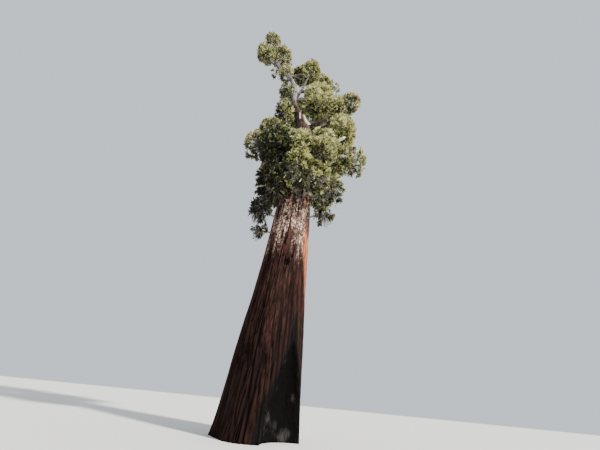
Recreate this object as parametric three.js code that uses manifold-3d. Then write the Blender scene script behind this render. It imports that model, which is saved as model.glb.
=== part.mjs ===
// An old giant sequoia, whole, drawn at half its real size so that it stands 40 m tall.
// The trunk stands upright on level ground with a charred hollow at its foot. High up it
// turns into a crooked leader that runs off to one side, with a second leader beside it.
// Thick boughs carry separate clumps of foliage, and three dead limbs have lost theirs.
// +Z is up, the origin is the middle of the trunk's flat cut at ground level,
// and -Y is the side of the tree that the burnt hollow can be seen from.

import * as THREE from 'three';
import { mergeVertices } from 'three/addons/utils/BufferGeometryUtils.js';
import Module from 'manifold-3d';

const wasm = await Module();
wasm.setup();

// Driving sizes. The tables are in metres, the model is in millimetres.
const metre = 1000;
const seed = 2711;

// The gap that two pieces keep where they touch, and where a clump passes a limb.
const touchGap = 0.0003;
const limbGap = 0.04;

// Points of a three.js geometry that are nearer than this are one vertex, and a limb that
// climbs more steeply than this takes its cross-section from the X axis.
const weldGap = 1e-6;
const steepLimb = 0.9;

// Trunk stations: height, across (X), along (Y), radius of the column without its flare.
const trunkStations = [
  [0, 0, 0, 1.34],
  [2.4, 0.05, 0, 1.29],
  [5, 0.13, 0, 1.14],
  [9, 0.22, 0, 1.01],
  [15, 0.3, 0, 0.85],
  [18.5, 0.3, 0, 0.66],
  [20.8, -0.2, -0.05, 0.48],
  [23.6, -1.05, -0.15, 0.32],
  [27.2, -1.25, -0.25, 0.245],
  [29.2, -2.1, -0.5, 0.215],
  [31.2, -3.5, -0.95, 0.185],
  [34.8, -4.95, -1.45, 0.125],
  [38.7, -5.25, -1.6, 0.045]
];
const rootFlare = { out: 0.1, height: 0.8, lobes: 5, lobeDepth: 0.06, turn: 3.5 };
const trunkRings = [
  0, 0.4, 0.9, 1.6, 2.8, 4.5, 7, 10, 13, 16, 18.2, 19.4, 20.6, 22.2, 23.8,
  25.6, 27.2, 28.2, 29.2, 30.2, 31.4, 33, 34.8, 36.8, 38.7
];
const trunkSides = 18;

// The burnt hollow: an arch that opens at the ground and closes to a narrow top. Its cutter
// starts below the ground and outside the bark. The powers shape how its sides close in.
const hollow = {
  bearing: -46,
  halfWidth: 0.92,
  depth: 0.78,
  height: 2.85,
  closing: 0.985,
  closingPower: 1.5,
  depthPower: 0.8,
  belowGround: 0.055,
  outsideBark: 0.04,
  sides: 12,
  rings: 7
};

// The trunk made fatter, which clumps are cut clear of. It takes every second ring low down.
const clearTrunk = { gap: 0.1, sides: 10, from: 6, everyRingAbove: 18, beyondTip: 0.1 };

// Foliage clumps: name, centre across, along and up, half width, half height.
const clumps = [
  ['leader_top', -5.2, -1.5, 38.1, 1.12, 1.9],
  ['leader_left', -5.6, -1.05, 34.5, 1.25, 2.15],
  ['leader_under', -4.85, -1.4, 32.5, 0.98, 1.4],
  ['leader_low', -2.6, -0.4, 30.35, 1.02, 1.6],
  ['leader_right', -3.55, -0.75, 34.6, 1.5, 2.35],
  ['leader_droop', -3.85, -0.55, 29.8, 0.55, 0.9],
  ['centre_left', -1.0, -0.1, 31.4, 1.15, 2.1],
  ['centre_top', 0.05, 0.3, 33.4, 1.55, 2.6],
  ['centre_right', 1.9, 0.4, 30.2, 1.22, 2.4],
  ['right_tuft', 3.2, -0.45, 27.8, 0.48, 0.85],
  ['left_column', -1.98, -0.2, 26.0, 0.88, 2.7],
  ['knob_right', 4.2, -1.2, 22.5, 0.95, 1.35],
  ['right_upper', 1.35, 0.3, 25.9, 1.75, 2.9],
  ['right_shoulder', 3.15, -0.4, 22.4, 1.35, 2.2],
  ['upper_left', -1.62, -0.3, 21.2, 1.05, 2.2],
  ['shoulder_left', -2.4, -0.2, 17.9, 1.08, 1.95],
  ['left_inner', -1.3, -1.2, 15.6, 1.05, 2.0],
  ['right_inner', 1.68, -1.5, 14.6, 1.2, 1.8],
  ['right_mid', 3.25, -0.5, 18.5, 1.35, 2.1],
  ['left_outer', -3.0, -0.6, 15.2, 0.98, 1.8],
  ['left_front', -1.25, -1.8, 13.6, 1.35, 2.3],
  ['front_upper', 0.35, -2.2, 12.95, 1.08, 1.65],
  ['front_right', 1.55, -2.3, 12.7, 1.0, 1.6],
  ['right_outer', 3.93, -0.9, 14.2, 0.98, 1.6],
  ['right_below', 2.8, -0.9, 14.3, 1.1, 1.7],
  ['front_mid', 0.4, -2.15, 10.9, 1.12, 1.8],
  ['front_low', 1.35, -1.9, 10.75, 0.95, 1.65],
  ['left_low', -1.1, -1.3, 10.6, 1.12, 1.95],
  ['right_low', 2.25, -0.9, 11.0, 0.98, 1.6],
  ['left_hanging', -1.5, -0.7, 9.2, 0.72, 1.2],
  ['right_hanging', 1.95, -0.85, 9.3, 0.66, 1.15],
  ['left_tuft', -1.38, -0.6, 8.0, 0.5, 0.85],
  ['back_low_left', -1.4, 1.5, 13.4, 1.3, 2.1],
  ['back_low_right', 1.9, 1.6, 13.8, 1.4, 2.1],
  ['back_mid', 0.3, 2.4, 15.6, 1.5, 2.2],
  ['back_left', -2.2, 1.4, 17.9, 1.4, 2.5],
  ['back_right', 2.6, 1.6, 17.6, 1.5, 2.3],
  ['back_upper', 0.4, 1.9, 19.8, 1.5, 2.3],
  ['back_high_right', 1.9, 1.6, 22.8, 1.5, 2.3],
  ['back_high', -0.6, 1.25, 24.6, 1.4, 2.9]
];

// Boughs: the clump each one carries, how far below the clump's middle it leaves its limb,
// its radius there and at its tip, and how much it sags before it turns up.
const boughs = [
  { carries: 'centre_top', drop: 9.1, base: 0.17, tip: 0.1, sag: 2.4 },
  { carries: 'centre_right', from: 'centre_top', drop: 2.6, base: 0.14, tip: 0.07, sag: 0.3 },
  { carries: 'right_tuft', from: 'centre_top', drop: 0.6, base: 0.09, tip: 0.04, sag: 0.2 },
  { carries: 'leader_left', drop: 1.6, base: 0.12, tip: 0.07, sag: 0.2 },
  { carries: 'leader_right', drop: 3.2, base: 0.14, tip: 0.08, sag: 0.2 },
  { carries: 'knob_right', drop: 4.7, base: 0.24, tip: 0.08, sag: 0.5 },
  { carries: 'right_shoulder', drop: 2.6, base: 0.2, tip: 0.09, sag: 0.4 },
  { carries: 'right_mid', drop: 2.2, base: 0.24, tip: 0.1, sag: 0.4 },
  { carries: 'right_outer', drop: 0.9, base: 0.24, tip: 0.08, sag: 0.3 },
  { carries: 'shoulder_left', drop: 1.5, base: 0.2, tip: 0.09, sag: 0.3 },
  { carries: 'left_outer', drop: 1.3, base: 0.22, tip: 0.09, sag: 0.3 },
  { carries: 'right_low', drop: 0.4, base: 0.14, tip: 0.06, sag: 0.1 },
  { carries: 'back_left', drop: 1.8, base: 0.22, tip: 0.09, sag: 0.3 },
  { carries: 'back_right', drop: 2.0, base: 0.24, tip: 0.1, sag: 0.4 },
  { carries: 'back_high_right', drop: 2.2, base: 0.2, tip: 0.09, sag: 0.3 },
  { carries: 'back_mid', drop: 2.0, base: 0.22, tip: 0.1, sag: 0.3 }
];
const boughShape = { sides: 6, steps: 4, bend: 0.6, aimLow: 0.3, tipStep: 0.01 };

// Dead limbs: the height of the foot, how far up the tip is from there, the bearing and
// distance from the trunk's middle of both, and the radius at each end.
const deadLimbs = [
  { name: 'dead_limb_front', height: 19.3, lift: 0.9, foot: [-40, 0.55], tip: [-95, 0.8], radii: [0.2, 0.05] },
  { name: 'dead_limb_right', height: 15.5, lift: 0.8, foot: [-24, 0.3], tip: [-24, 3.3], radii: [0.17, 0.1] },
  { name: 'dead_limb_spur', height: 19.9, lift: 0.9, foot: [-115, 0.35], tip: [-112, 0.75], radii: [0.1, 0.03] }
];
const deadBend = { along: 0.5, lift: 0.2 };

// How a clump grows. Shares are of the distance from its middle to the edge of its space.
const growth = {
  coreShare: 0.76,
  coreLump: 0.12,
  coreSides: 7,
  coreRings: 5,
  coreLeast: 0.2,
  coreStep: 0.03,
  twigBase: 2,
  twigPerMetre: 1.6,
  twigStart: 0.2,
  twigEnd: 0.86,
  twigRadius: 0.035,
  twigTaper: 1.3,
  twigSides: 3,
  sprayRoot: 0.58,
  sprayTip: 0.99,
  sprayShortest: 0.78,
  sprayStep: 0.05,
  sprayWidth: 0.95,
  sprayThick: 0.1,
  sideTurn: 0.75,
  cellMargin: 0.03,
  coreMargin: 0.06,
  stemRadius: 0.07,
  stemTaper: 0.4,
  stemLow: 0.4,
  stemSides: 5,
  stemSearch: 4,
  stemSearchStep: 0.1
};

// A spray's toothed outline, from its root round its tip: share of length, share of width.
const sprayOutline = [
  [0, 0],
  [0.38, 0.5],
  [0.55, 0.26],
  [0.8, 0.38],
  [1, -0.04],
  [0.6, -0.24],
  [0.42, -0.5]
];
const sprayMiddle = 0.48;

const colours = {
  bark: 0x7c4630,
  upperBark: 0x8a6a5a,
  deadWood: 0xcbbfae,
  leaf: [0x6f7a35, 0x59682f, 0x7f8a3f, 0x4b5a2c]
};
const roughness = { wood: 0.95, leaf: 0.8 };

// Small helpers.
function seededRandom(start) {
  let state = start >>> 0;
  return function next() {
    state = (state + 0x6d2b79f5) >>> 0;
    let mixed = Math.imul(state ^ (state >>> 15), 1 | state);
    mixed = (mixed + Math.imul(mixed ^ (mixed >>> 7), 61 | mixed)) ^ mixed;
    return ((mixed ^ (mixed >>> 14)) >>> 0) / 4294967296;
  };
}

function vector(x, y, z) {
  return new THREE.Vector3(x, y, z);
}

function bearingVector(degrees) {
  const angle = THREE.MathUtils.degToRad(degrees);
  return vector(Math.cos(angle), Math.sin(angle), 0);
}

// A smooth curve through one column of the trunk stations, read at a height.
function stationValue(height, column) {
  const last = trunkStations.length - 1;
  let k = 0;
  while (k < last - 1 && height > trunkStations[k + 1][0]) {
    k += 1;
  }
  const slope = (i) => {
    const before = trunkStations[Math.max(i - 1, 0)];
    const after = trunkStations[Math.min(i + 1, last)];
    return (after[column] - before[column]) / (after[0] - before[0]);
  };
  const [low, high] = [trunkStations[k], trunkStations[k + 1]];
  const span = high[0] - low[0];
  const u = THREE.MathUtils.clamp((height - low[0]) / span, 0, 1);
  const rise = u * u * (3 - 2 * u);
  const leave = u * (1 - u) * (1 - u) * span * slope(k);
  const arrive = u * u * (u - 1) * span * slope(k + 1);
  return low[column] + (high[column] - low[column]) * rise + leave + arrive;
}

function trunkCentre(height) {
  return vector(stationValue(height, 1), stationValue(height, 2), height);
}

function trunkRadius(height, angle) {
  const fade = Math.exp(-height / rootFlare.height);
  const lobe = rootFlare.lobeDepth * Math.cos(rootFlare.lobes * angle + rootFlare.turn);
  return stationValue(height, 3) + fade * (rootFlare.out + lobe);
}

// Solids. Every piece is a closed three.js geometry whose vertices are moved into place.
function solidFrom(geometry) {
  const bare = geometry.clone();
  bare.deleteAttribute('normal');
  bare.deleteAttribute('uv');
  const welded = mergeVertices(bare, weldGap);
  const vertProperties = Float32Array.from(welded.attributes.position.array, (v) => v * metre);
  const triVerts = Uint32Array.from(welded.index.array);
  const corner = (i) => new THREE.Vector3().fromArray(vertProperties, triVerts[i] * 3);
  let volume = 0;
  for (let t = 0; t < triVerts.length; t += 3) {
    volume += corner(t).dot(corner(t + 1).cross(corner(t + 2)));
  }
  if (volume < 0) {
    for (let t = 0; t < triVerts.length; t += 3) {
      [triVerts[t], triVerts[t + 1]] = [triVerts[t + 1], triVerts[t]];
    }
  }
  return new wasm.Manifold(new wasm.Mesh({ numProp: 3, vertProperties, triVerts }));
}

function moveVertices(geometry, placeVertex) {
  const position = geometry.attributes.position;
  for (let i = 0; i < position.count; i += 1) {
    const point = vector(position.getX(i), position.getY(i), position.getZ(i));
    const moved = placeVertex(point, i);
    position.setXYZ(i, moved.x, moved.y, moved.z);
  }
  return geometry;
}

// The trunk, or the trunk made fatter by a gap, for cutting what stands against it.
function trunkSolid(rings, sides, fatter) {
  const geometry = new THREE.CylinderGeometry(1, 1, 1, sides, rings.length - 1);
  return solidFrom(moveVertices(geometry, (point) => {
    const ring = Math.round((0.5 + point.y) * (rings.length - 1));
    const height = rings[ring];
    const angle = Math.atan2(point.z, point.x);
    const share = Math.min(Math.hypot(point.x, point.z), 1);
    const radius = (trunkRadius(height, angle) + fatter) * Math.round(share);
    return trunkCentre(height).add(vector(Math.cos(angle) * radius, Math.sin(angle) * radius, 0));
  }));
}

function hollowSolid() {
  const { halfWidth, depth, height, belowGround, outsideBark, sides, rings } = hollow;
  const facing = bearingVector(hollow.bearing);
  const sideways = vector(-facing.y, facing.x, 0);
  const geometry = new THREE.CylinderGeometry(1, 1, 1, sides, rings);
  return solidFrom(moveVertices(geometry, (point) => {
    const share = point.y + 0.5;
    const narrowing = 1 - hollow.closing * Math.pow(share, hollow.closingPower);
    const level = share * (height + belowGround) - belowGround;
    const face = trunkRadius(Math.max(level, 0), THREE.MathUtils.degToRad(hollow.bearing));
    const inward = point.x * depth * Math.pow(narrowing, hollow.depthPower);
    return trunkCentre(Math.max(level, 0)).setZ(level)
      .addScaledVector(facing, face + outsideBark + inward)
      .addScaledVector(sideways, point.z * halfWidth * narrowing);
  }));
}

// A tapering limb along a curve.
function limbSolid(curve, radiusAt, sides, steps, fatter = 0) {
  const geometry = new THREE.CylinderGeometry(1, 1, 1, sides, steps);
  const chord = curve.getPoint(1).sub(curve.getPoint(0)).normalize();
  const reference = Math.abs(chord.z) > steepLimb ? vector(1, 0, 0) : vector(0, 0, 1);
  return solidFrom(moveVertices(geometry, (point) => {
    const share = point.y + 0.5;
    const tangent = curve.getTangent(share);
    const sideways = tangent.clone().cross(reference).normalize();
    const upward = sideways.clone().cross(tangent);
    const radius = radiusAt(share) + fatter;
    const lengthen = fatter * (2 * share - 1);
    return curve.getPoint(share)
      .addScaledVector(sideways, point.x * radius)
      .addScaledVector(upward, point.z * radius)
      .addScaledVector(tangent, lengthen);
  }));
}

// One body: the largest one, with loose scraps dropped and sealed hollows filled.
function largestBody(solid) {
  const bodies = solid.decompose();
  return bodies.reduce((best, body) => (body.volume() > best.volume() ? body : best));
}

function meshFrom(solid, name, colour, roughnessValue) {
  const { vertProperties, triVerts } = solid.getMesh();
  const geometry = new THREE.BufferGeometry();
  geometry.setAttribute('position', new THREE.BufferAttribute(vertProperties, 3));
  geometry.setIndex(new THREE.BufferAttribute(triVerts, 1));
  geometry.computeVertexNormals();
  const look = { color: colour, roughness: roughnessValue, metalness: 0 };
  const material = new THREE.MeshStandardMaterial(look);
  const mesh = new THREE.Mesh(geometry, material);
  mesh.name = name;
  return mesh;
}

// Clumps, and the space that each one keeps to.
const spaces = clumps.map(([name, x, y, z, wide, tall]) => (
  { name, middle: vector(x, y, z), half: vector(wide, wide, tall) }
));

function spaceShare(space, point) {
  return point.clone().sub(space.middle).divide(space.half).length();
}

// A point is in a clump's space when it is inside its oval and nearer to it than to any other.
function inSpace(space, point, margin) {
  const own = spaceShare(space, point);
  if (own > 1) {
    return false;
  }
  return spaces.every((other) => {
    if (other === space) {
      return true;
    }
    const share = spaceShare(other, point);
    return share > own + margin || share > 1 + margin;
  });
}

// Boughs run from the trunk, or from another bough, to where they enter their clump.
function spaceOf(name) {
  return spaces.find((space) => space.name === name);
}

const boughRoutes = new Map();
for (const bough of boughs) {
  const space = spaceOf(bough.carries);
  const leaves = space.middle.z - bough.drop;
  const parent = bough.from ? boughRoutes.get(bough.from) : null;
  const start = parent ? parent.curve.getPoint(parent.shareAtHeight(leaves)) : trunkCentre(leaves);
  const aim = space.middle.clone().setZ(space.middle.z - boughShape.aimLow * space.half.z);
  const tip = start.clone();
  while (spaceShare(space, tip) > 1) {
    tip.addScaledVector(aim.clone().sub(start), boughShape.tipStep);
  }
  const bend = start.clone().lerp(tip, boughShape.bend);
  bend.z -= bough.sag * boughShape.bend;
  const curve = new THREE.QuadraticBezierCurve3(start, bend, tip);
  const radiusAt = (share) => THREE.MathUtils.lerp(bough.base, bough.tip, share);
  const shareAtHeight = (height) => THREE.MathUtils.clamp((height - start.z) / (tip.z - start.z), 0, 1);
  boughRoutes.set(bough.carries, { bough, curve, radiusAt, shareAtHeight, tip });
}

const deadRoutes = deadLimbs.map((limb) => {
  const axis = trunkCentre(limb.height);
  const [start, tip] = [limb.foot, limb.tip].map(([bearing, out]) => (
    axis.clone().addScaledVector(bearingVector(bearing), out)
  ));
  tip.z += limb.lift;
  const bend = start.clone().lerp(tip, deadBend.along).setZ(limb.height + limb.lift * deadBend.lift);
  const curve = new THREE.QuadraticBezierCurve3(start, bend, tip);
  return { limb, curve, radiusAt: (share) => THREE.MathUtils.lerp(...limb.radii, share) };
});

// The limbs as solids, true to size and made fatter for cutting.
const trunkTrue = trunkSolid(trunkRings, trunkSides, 0).subtract(hollowSolid());
const trunkTouch = trunkSolid(trunkRings, trunkSides, touchGap);
const clearRings = trunkRings.filter((height, k) => (
  height > clearTrunk.from && (k % 2 === 0 || height > clearTrunk.everyRingAbove)
));
const clearTop = trunkRings[trunkRings.length - 1] + clearTrunk.beyondTip;
const trunkClear = trunkSolid([clearTrunk.from, ...clearRings, clearTop], clearTrunk.sides, clearTrunk.gap);

const limbSolids = [{ name: 'trunk', solid: largestBody(trunkTrue), colour: colours.bark }];
const clearSolids = [trunkClear];
for (const [carries, route] of boughRoutes) {
  const { sides, steps } = boughShape;
  const parent = route.bough.from ? boughRoutes.get(route.bough.from) : null;
  let solid = limbSolid(route.curve, route.radiusAt, sides, steps).subtract(trunkTouch);
  if (parent) {
    solid = solid.subtract(limbSolid(parent.curve, parent.radiusAt, sides, steps, touchGap));
  }
  const name = carries === 'centre_top' ? 'second_leader' : `bough_${carries}`;
  limbSolids.push({ name, solid: largestBody(solid), colour: colours.upperBark });
  clearSolids.push(limbSolid(route.curve, route.radiusAt, sides, steps, limbGap));
}
for (const { limb, curve, radiusAt } of deadRoutes) {
  const { sides, steps } = boughShape;
  const solid = limbSolid(curve, radiusAt, sides, steps).subtract(trunkTouch);
  limbSolids.push({ name: limb.name, solid: largestBody(solid), colour: colours.deadWood });
  clearSolids.push(limbSolid(curve, radiusAt, sides, steps, limbGap));
}

// Foliage.
function sprayPoints(root, tip, across) {
  const along = tip.clone().sub(root);
  const width = across.clone().multiplyScalar(along.length() * growth.sprayWidth);
  return sprayOutline.map(([length, side]) => (
    root.clone().addScaledVector(along, length).addScaledVector(width, side)
  ));
}

function spraySolid(root, tip, across) {
  const along = tip.clone().sub(root);
  const flat = along.clone().normalize().cross(across).multiplyScalar(along.length() * growth.sprayThick);
  const rim = sprayPoints(root, tip, across);
  const middle = root.clone().addScaledVector(along, sprayMiddle);
  const profile = [new THREE.Vector2(0, -1), new THREE.Vector2(1, 0), new THREE.Vector2(0, 1)];
  const geometry = new THREE.LatheGeometry(profile, rim.length);
  return solidFrom(moveVertices(geometry, (point, i) => {
    const onRim = i % profile.length === 1;
    const turn = Math.floor(i / profile.length) % rim.length;
    return onRim ? rim[turn] : middle.clone().addScaledVector(flat, point.y);
  }));
}

function sprayFits(space, root, tip, across) {
  const checked = [...sprayPoints(root, tip, across), root.clone().lerp(tip, sprayMiddle)];
  return checked.every((point) => inSpace(space, point, growth.cellMargin));
}

function meets(solid, others) {
  const box = solid.boundingBox();
  return others.some((other) => {
    const far = other.boundingBox();
    const apart = box.min.some((low, k) => low > far.max[k]) || box.max.some((top, k) => top < far.min[k]);
    return !apart && !solid.intersect(other).isEmpty();
  });
}

// The dense middle of a clump: a lumpy ball drawn in where another clump is near.
function coreSolid(space, random) {
  const lumps = new Map();
  const geometry = new THREE.SphereGeometry(1, growth.coreSides, growth.coreRings);
  return solidFrom(moveVertices(geometry, (point) => {
    const direction = point.clone().normalize();
    const key = direction.toArray().map((value) => Math.round(value * 1000) + 0).join();
    if (!lumps.has(key)) {
      let share = growth.coreShare * (1 + growth.coreLump * (2 * random() - 1));
      const at = () => space.middle.clone().add(direction.clone().multiply(space.half).multiplyScalar(share));
      while (share > growth.coreLeast && !inSpace(space, at(), growth.coreMargin)) {
        share -= growth.coreStep;
      }
      lumps.set(key, at());
    }
    return lumps.get(key).clone();
  }));
}

function evenDirections(count, random) {
  const golden = Math.PI * (3 - Math.sqrt(5));
  const turn = random() * 2 * Math.PI;
  return Array.from({ length: count }, (_, k) => {
    const up = 1 - (2 * k) / (count - 1);
    const flat = Math.sqrt(1 - up * up);
    const angle = turn + k * golden;
    return vector(flat * Math.cos(angle), flat * Math.sin(angle), up);
  });
}

// The stem of each clump grows on from its bough's tip, or straight from the trunk.
function nearestOnTrunk(point) {
  const { stemSearch, stemSearchStep } = growth;
  const count = (2 * stemSearch) / stemSearchStep;
  const heights = Array.from({ length: count }, (_, k) => point.z - stemSearch + k * stemSearchStep);
  const centres = heights.map((height) => trunkCentre(height));
  return centres.reduce((best, at) => (at.distanceTo(point) < best.distanceTo(point) ? at : best));
}

function stemSolid(space, fatter) {
  const route = boughRoutes.get(space.name);
  const lowered = space.middle.clone().setZ(space.middle.z - growth.stemLow * space.half.z);
  const line = new THREE.LineCurve3(route ? route.tip : nearestOnTrunk(lowered), space.middle);
  const radius = route ? route.bough.tip : growth.stemRadius;
  const radiusAt = (share) => radius * (1 - growth.stemTaper * share);
  const stem = limbSolid(line, radiusAt, growth.stemSides, 1, fatter);
  if (!route || fatter) {
    return stem;
  }
  return stem.subtract(limbSolid(route.curve, route.radiusAt, boughShape.sides, boughShape.steps, touchGap));
}

const stems = new Map(spaces.map((space) => [
  space, { solid: stemSolid(space, 0).subtract(trunkTouch), clear: stemSolid(space, limbGap) }
]));

function clumpSolid(space, random, neighbours) {
  const place = (direction, share) => (
    space.middle.clone().add(direction.clone().multiply(space.half).multiplyScalar(share))
  );
  const otherStems = [...stems].filter(([owner]) => owner !== space).map(([, stem]) => stem.clear);
  const avoided = [...clearSolids, ...otherStems];
  let solid = coreSolid(space, random);
  for (const clear of avoided) {
    solid = solid.subtract(clear);
  }
  solid = solid.add(stems.get(space).solid);
  const twigCount = Math.round(growth.twigBase + growth.twigPerMetre * space.half.x);
  for (const direction of evenDirections(twigCount, random)) {
    const slant = vector(random() - 0.5, random() - 0.5, random() - 0.5);
    const across = direction.clone().cross(slant).normalize();
    const aside = direction.clone().addScaledVector(across, growth.sideTurn).normalize();
    const twigEnd = place(direction, growth.twigEnd);
    const twigLine = new THREE.LineCurve3(place(direction, growth.twigStart), twigEnd);
    const twigRadiusAt = (share) => growth.twigRadius * (growth.twigTaper - share);
    const twig = limbSolid(twigLine, twigRadiusAt, growth.twigSides, 1);
    if (inSpace(space, twigEnd, growth.coreMargin) && !meets(twig, avoided)) {
      solid = solid.add(twig);
    }
    for (const way of [direction, aside]) {
      const flat = way.clone().cross(across.clone().add(way.clone().cross(direction))).normalize();
      const root = place(way, growth.sprayRoot);
      let share = growth.sprayTip;
      while (share > growth.sprayShortest && !sprayFits(space, root, place(way, share), flat)) {
        share -= growth.sprayStep;
      }
      const spray = spraySolid(root, place(way, share), flat);
      if (share > growth.sprayShortest && !meets(spray, [...avoided, ...neighbours])) {
        solid = solid.add(spray);
      }
    }
  }
  return largestBody(solid);
}

const tree = new THREE.Group();
for (const { name, solid, colour } of limbSolids) {
  tree.add(meshFrom(solid, name, colour, roughness.wood));
}
const finishedClumps = [];
spaces.forEach((space, k) => {
  const solid = clumpSolid(space, seededRandom(seed + k), finishedClumps);
  const colour = colours.leaf[k % colours.leaf.length];
  tree.add(meshFrom(solid, `foliage_${space.name}`, colour, roughness.leaf));
  finishedClumps.push(solid);
});

export default tree;
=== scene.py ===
import math
import bmesh
import bpy
import numpy as np
from mathutils import Matrix, Vector


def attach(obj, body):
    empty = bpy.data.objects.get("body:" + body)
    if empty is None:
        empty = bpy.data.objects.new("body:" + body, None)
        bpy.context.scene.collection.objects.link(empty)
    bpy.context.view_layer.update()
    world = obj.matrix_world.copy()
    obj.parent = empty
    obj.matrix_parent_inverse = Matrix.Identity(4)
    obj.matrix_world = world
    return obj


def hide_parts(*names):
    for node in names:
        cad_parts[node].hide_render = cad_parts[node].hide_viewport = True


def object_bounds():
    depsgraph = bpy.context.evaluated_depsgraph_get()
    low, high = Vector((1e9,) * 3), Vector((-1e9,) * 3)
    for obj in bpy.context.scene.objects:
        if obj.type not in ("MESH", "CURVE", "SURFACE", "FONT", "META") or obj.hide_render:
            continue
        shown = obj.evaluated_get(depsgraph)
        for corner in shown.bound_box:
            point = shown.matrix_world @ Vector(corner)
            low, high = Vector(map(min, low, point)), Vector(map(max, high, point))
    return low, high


# An old giant sequoia at half its real size: bare furrowed trunk with a burnt hollow at its
# foot, a crooked bleached leader, and separate clumps of foliage. Metres, +Z up, and -Y is
# the side that the camera looks from.
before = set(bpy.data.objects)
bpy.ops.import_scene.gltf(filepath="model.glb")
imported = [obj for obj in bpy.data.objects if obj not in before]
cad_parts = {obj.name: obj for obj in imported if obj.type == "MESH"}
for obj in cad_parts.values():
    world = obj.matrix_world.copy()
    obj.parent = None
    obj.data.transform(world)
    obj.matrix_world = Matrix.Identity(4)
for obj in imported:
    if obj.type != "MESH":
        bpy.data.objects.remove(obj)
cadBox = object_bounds()
print("frame loaded, nodes:", len(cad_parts))


def addObject(name, data):
    added = bpy.data.objects.new(name, data)
    bpy.context.scene.collection.objects.link(added)
    return added


# Camera: at eye height ten metres off, looking up.
# zenith is where straight up lies for the camera: to its right, above, ahead.
viewpoint = {
    "at": (0.73, -9.97, 0.95),
    "zenith": (28, 281, 225),
    "lens": 13.5,
    "sensor": 36.0,
    "farthest": 2000,
}


def makeCamera():
    up = Vector(viewpoint["zenith"]).normalized()
    ahead = (Vector((0, 0, 1)) - up * up.z).normalized()
    right = up.cross(ahead)
    data = bpy.data.cameras.new("lookUp")
    data.lens = viewpoint["lens"]
    data.sensor_width = viewpoint["sensor"]
    data.clip_end = viewpoint["farthest"]
    axes = Matrix((
        (right.x, right.y, -right.z),
        (ahead.x, ahead.y, -ahead.z),
        (up.x, up.y, -up.z),
    ))
    camera = addObject("lookUp", data)
    camera.matrix_world = Matrix.Translation(viewpoint["at"]) @ axes.to_4x4()
    bpy.context.scene.camera = camera


makeCamera()
print("camera placed")


# Studio: a pale floor, a pale surround and one broad soft key from the right.
studio = {
    "surround": (0.80, 0.86, 0.93),
    "surroundStrength": 1.0,
    "keyBearing": -35,
    "keyHeight": 34,
    "keyStrength": 8.6,
    "keySoftness": 5,
    "keyColour": (1.0, 0.97, 0.92),
    "floor": (0.74, 0.73, 0.70),
    "floorRoughness": 0.9,
    "floorReach": 500,
}


def keyDirection():
    bearing = math.radians(studio["keyBearing"])
    height = math.radians(studio["keyHeight"])
    return np.array([
        math.cos(bearing) * math.cos(height),
        math.sin(bearing) * math.cos(height),
        math.sin(height),
    ])


towardsKey = keyDirection()


def objectFrom(bm, name):
    mesh = bpy.data.meshes.new(name)
    bm.to_mesh(mesh)
    bm.free()
    return addObject(name, mesh)


def newMaterial(name, roughness, gloss=0.3):
    material = bpy.data.materials.new(name)
    material.use_nodes = True
    shader = material.node_tree.nodes["Principled BSDF"]
    shader.inputs["Roughness"].default_value = roughness
    shader.inputs["Specular IOR Level"].default_value = gloss
    return material, shader


def makeStudio():
    world = bpy.data.worlds.new("studio")
    world.use_nodes = True
    surround = world.node_tree.nodes["Background"]
    surround.inputs["Color"].default_value = (*studio["surround"], 1)
    surround.inputs["Strength"].default_value = studio["surroundStrength"]
    bpy.context.scene.world = world

    light = bpy.data.lights.new("key", "SUN")
    light.energy = studio["keyStrength"]
    light.angle = math.radians(studio["keySoftness"])
    light.color = studio["keyColour"]
    key = addObject("key", light)
    key.rotation_mode = "QUATERNION"
    key.rotation_quaternion = Vector(towardsKey).to_track_quat("Z", "Y")

    bm = bmesh.new()
    bmesh.ops.create_grid(bm, x_segments=8, y_segments=8, size=studio["floorReach"])
    floor = objectFrom(bm, "floor")
    paint, shader = newMaterial("floorPaint", studio["floorRoughness"])
    shader.inputs["Base Color"].default_value = (*studio["floor"], 1)
    floor.data.materials.append(paint)


makeStudio()
print("studio lit")


# The tree's plan, in the same numbers as its solids.
# Trunk stations: height, across, along, radius of the column without its flare.
trunkPlan = {
    "stations": [
        [0, 0, 0, 1.34], [2.4, 0.05, 0, 1.29], [5, 0.13, 0, 1.14], [9, 0.22, 0, 1.01],
        [15, 0.3, 0, 0.85], [18.5, 0.3, 0, 0.66], [20.8, -0.2, -0.05, 0.48],
        [23.6, -1.05, -0.15, 0.32], [27.2, -1.25, -0.25, 0.245], [29.2, -2.1, -0.5, 0.215],
        [31.2, -3.5, -0.95, 0.185], [34.8, -4.95, -1.45, 0.125], [38.7, -5.25, -1.6, 0.045],
    ],
    "flareOut": 0.1,
    "flareHeight": 0.8,
    "flareLobes": 5,
    "lobeDepth": 0.06,
    "lobeTurn": 3.5,
}


def stationValue(heights, column):
    stations = np.array(trunkPlan["stations"])
    rise, values = stations[:, 0], stations[:, column]
    before = np.maximum(np.arange(len(rise)) - 1, 0)
    after = np.minimum(np.arange(len(rise)) + 1, len(rise) - 1)
    slopes = (values[after] - values[before]) / (rise[after] - rise[before])
    k = np.clip(np.searchsorted(rise, heights) - 1, 0, len(rise) - 2)
    span = rise[k + 1] - rise[k]
    u = np.clip((heights - rise[k]) / span, 0, 1)
    smooth = u * u * (3 - 2 * u)
    leave = u * (1 - u) ** 2 * span * slopes[k]
    arrive = u * u * (u - 1) * span * slopes[k + 1]
    return values[k] + (values[k + 1] - values[k]) * smooth + leave + arrive


def trunkCentre(heights):
    heights = np.asarray(heights, float)
    return np.stack([stationValue(heights, 1), stationValue(heights, 2), heights], -1)


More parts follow.
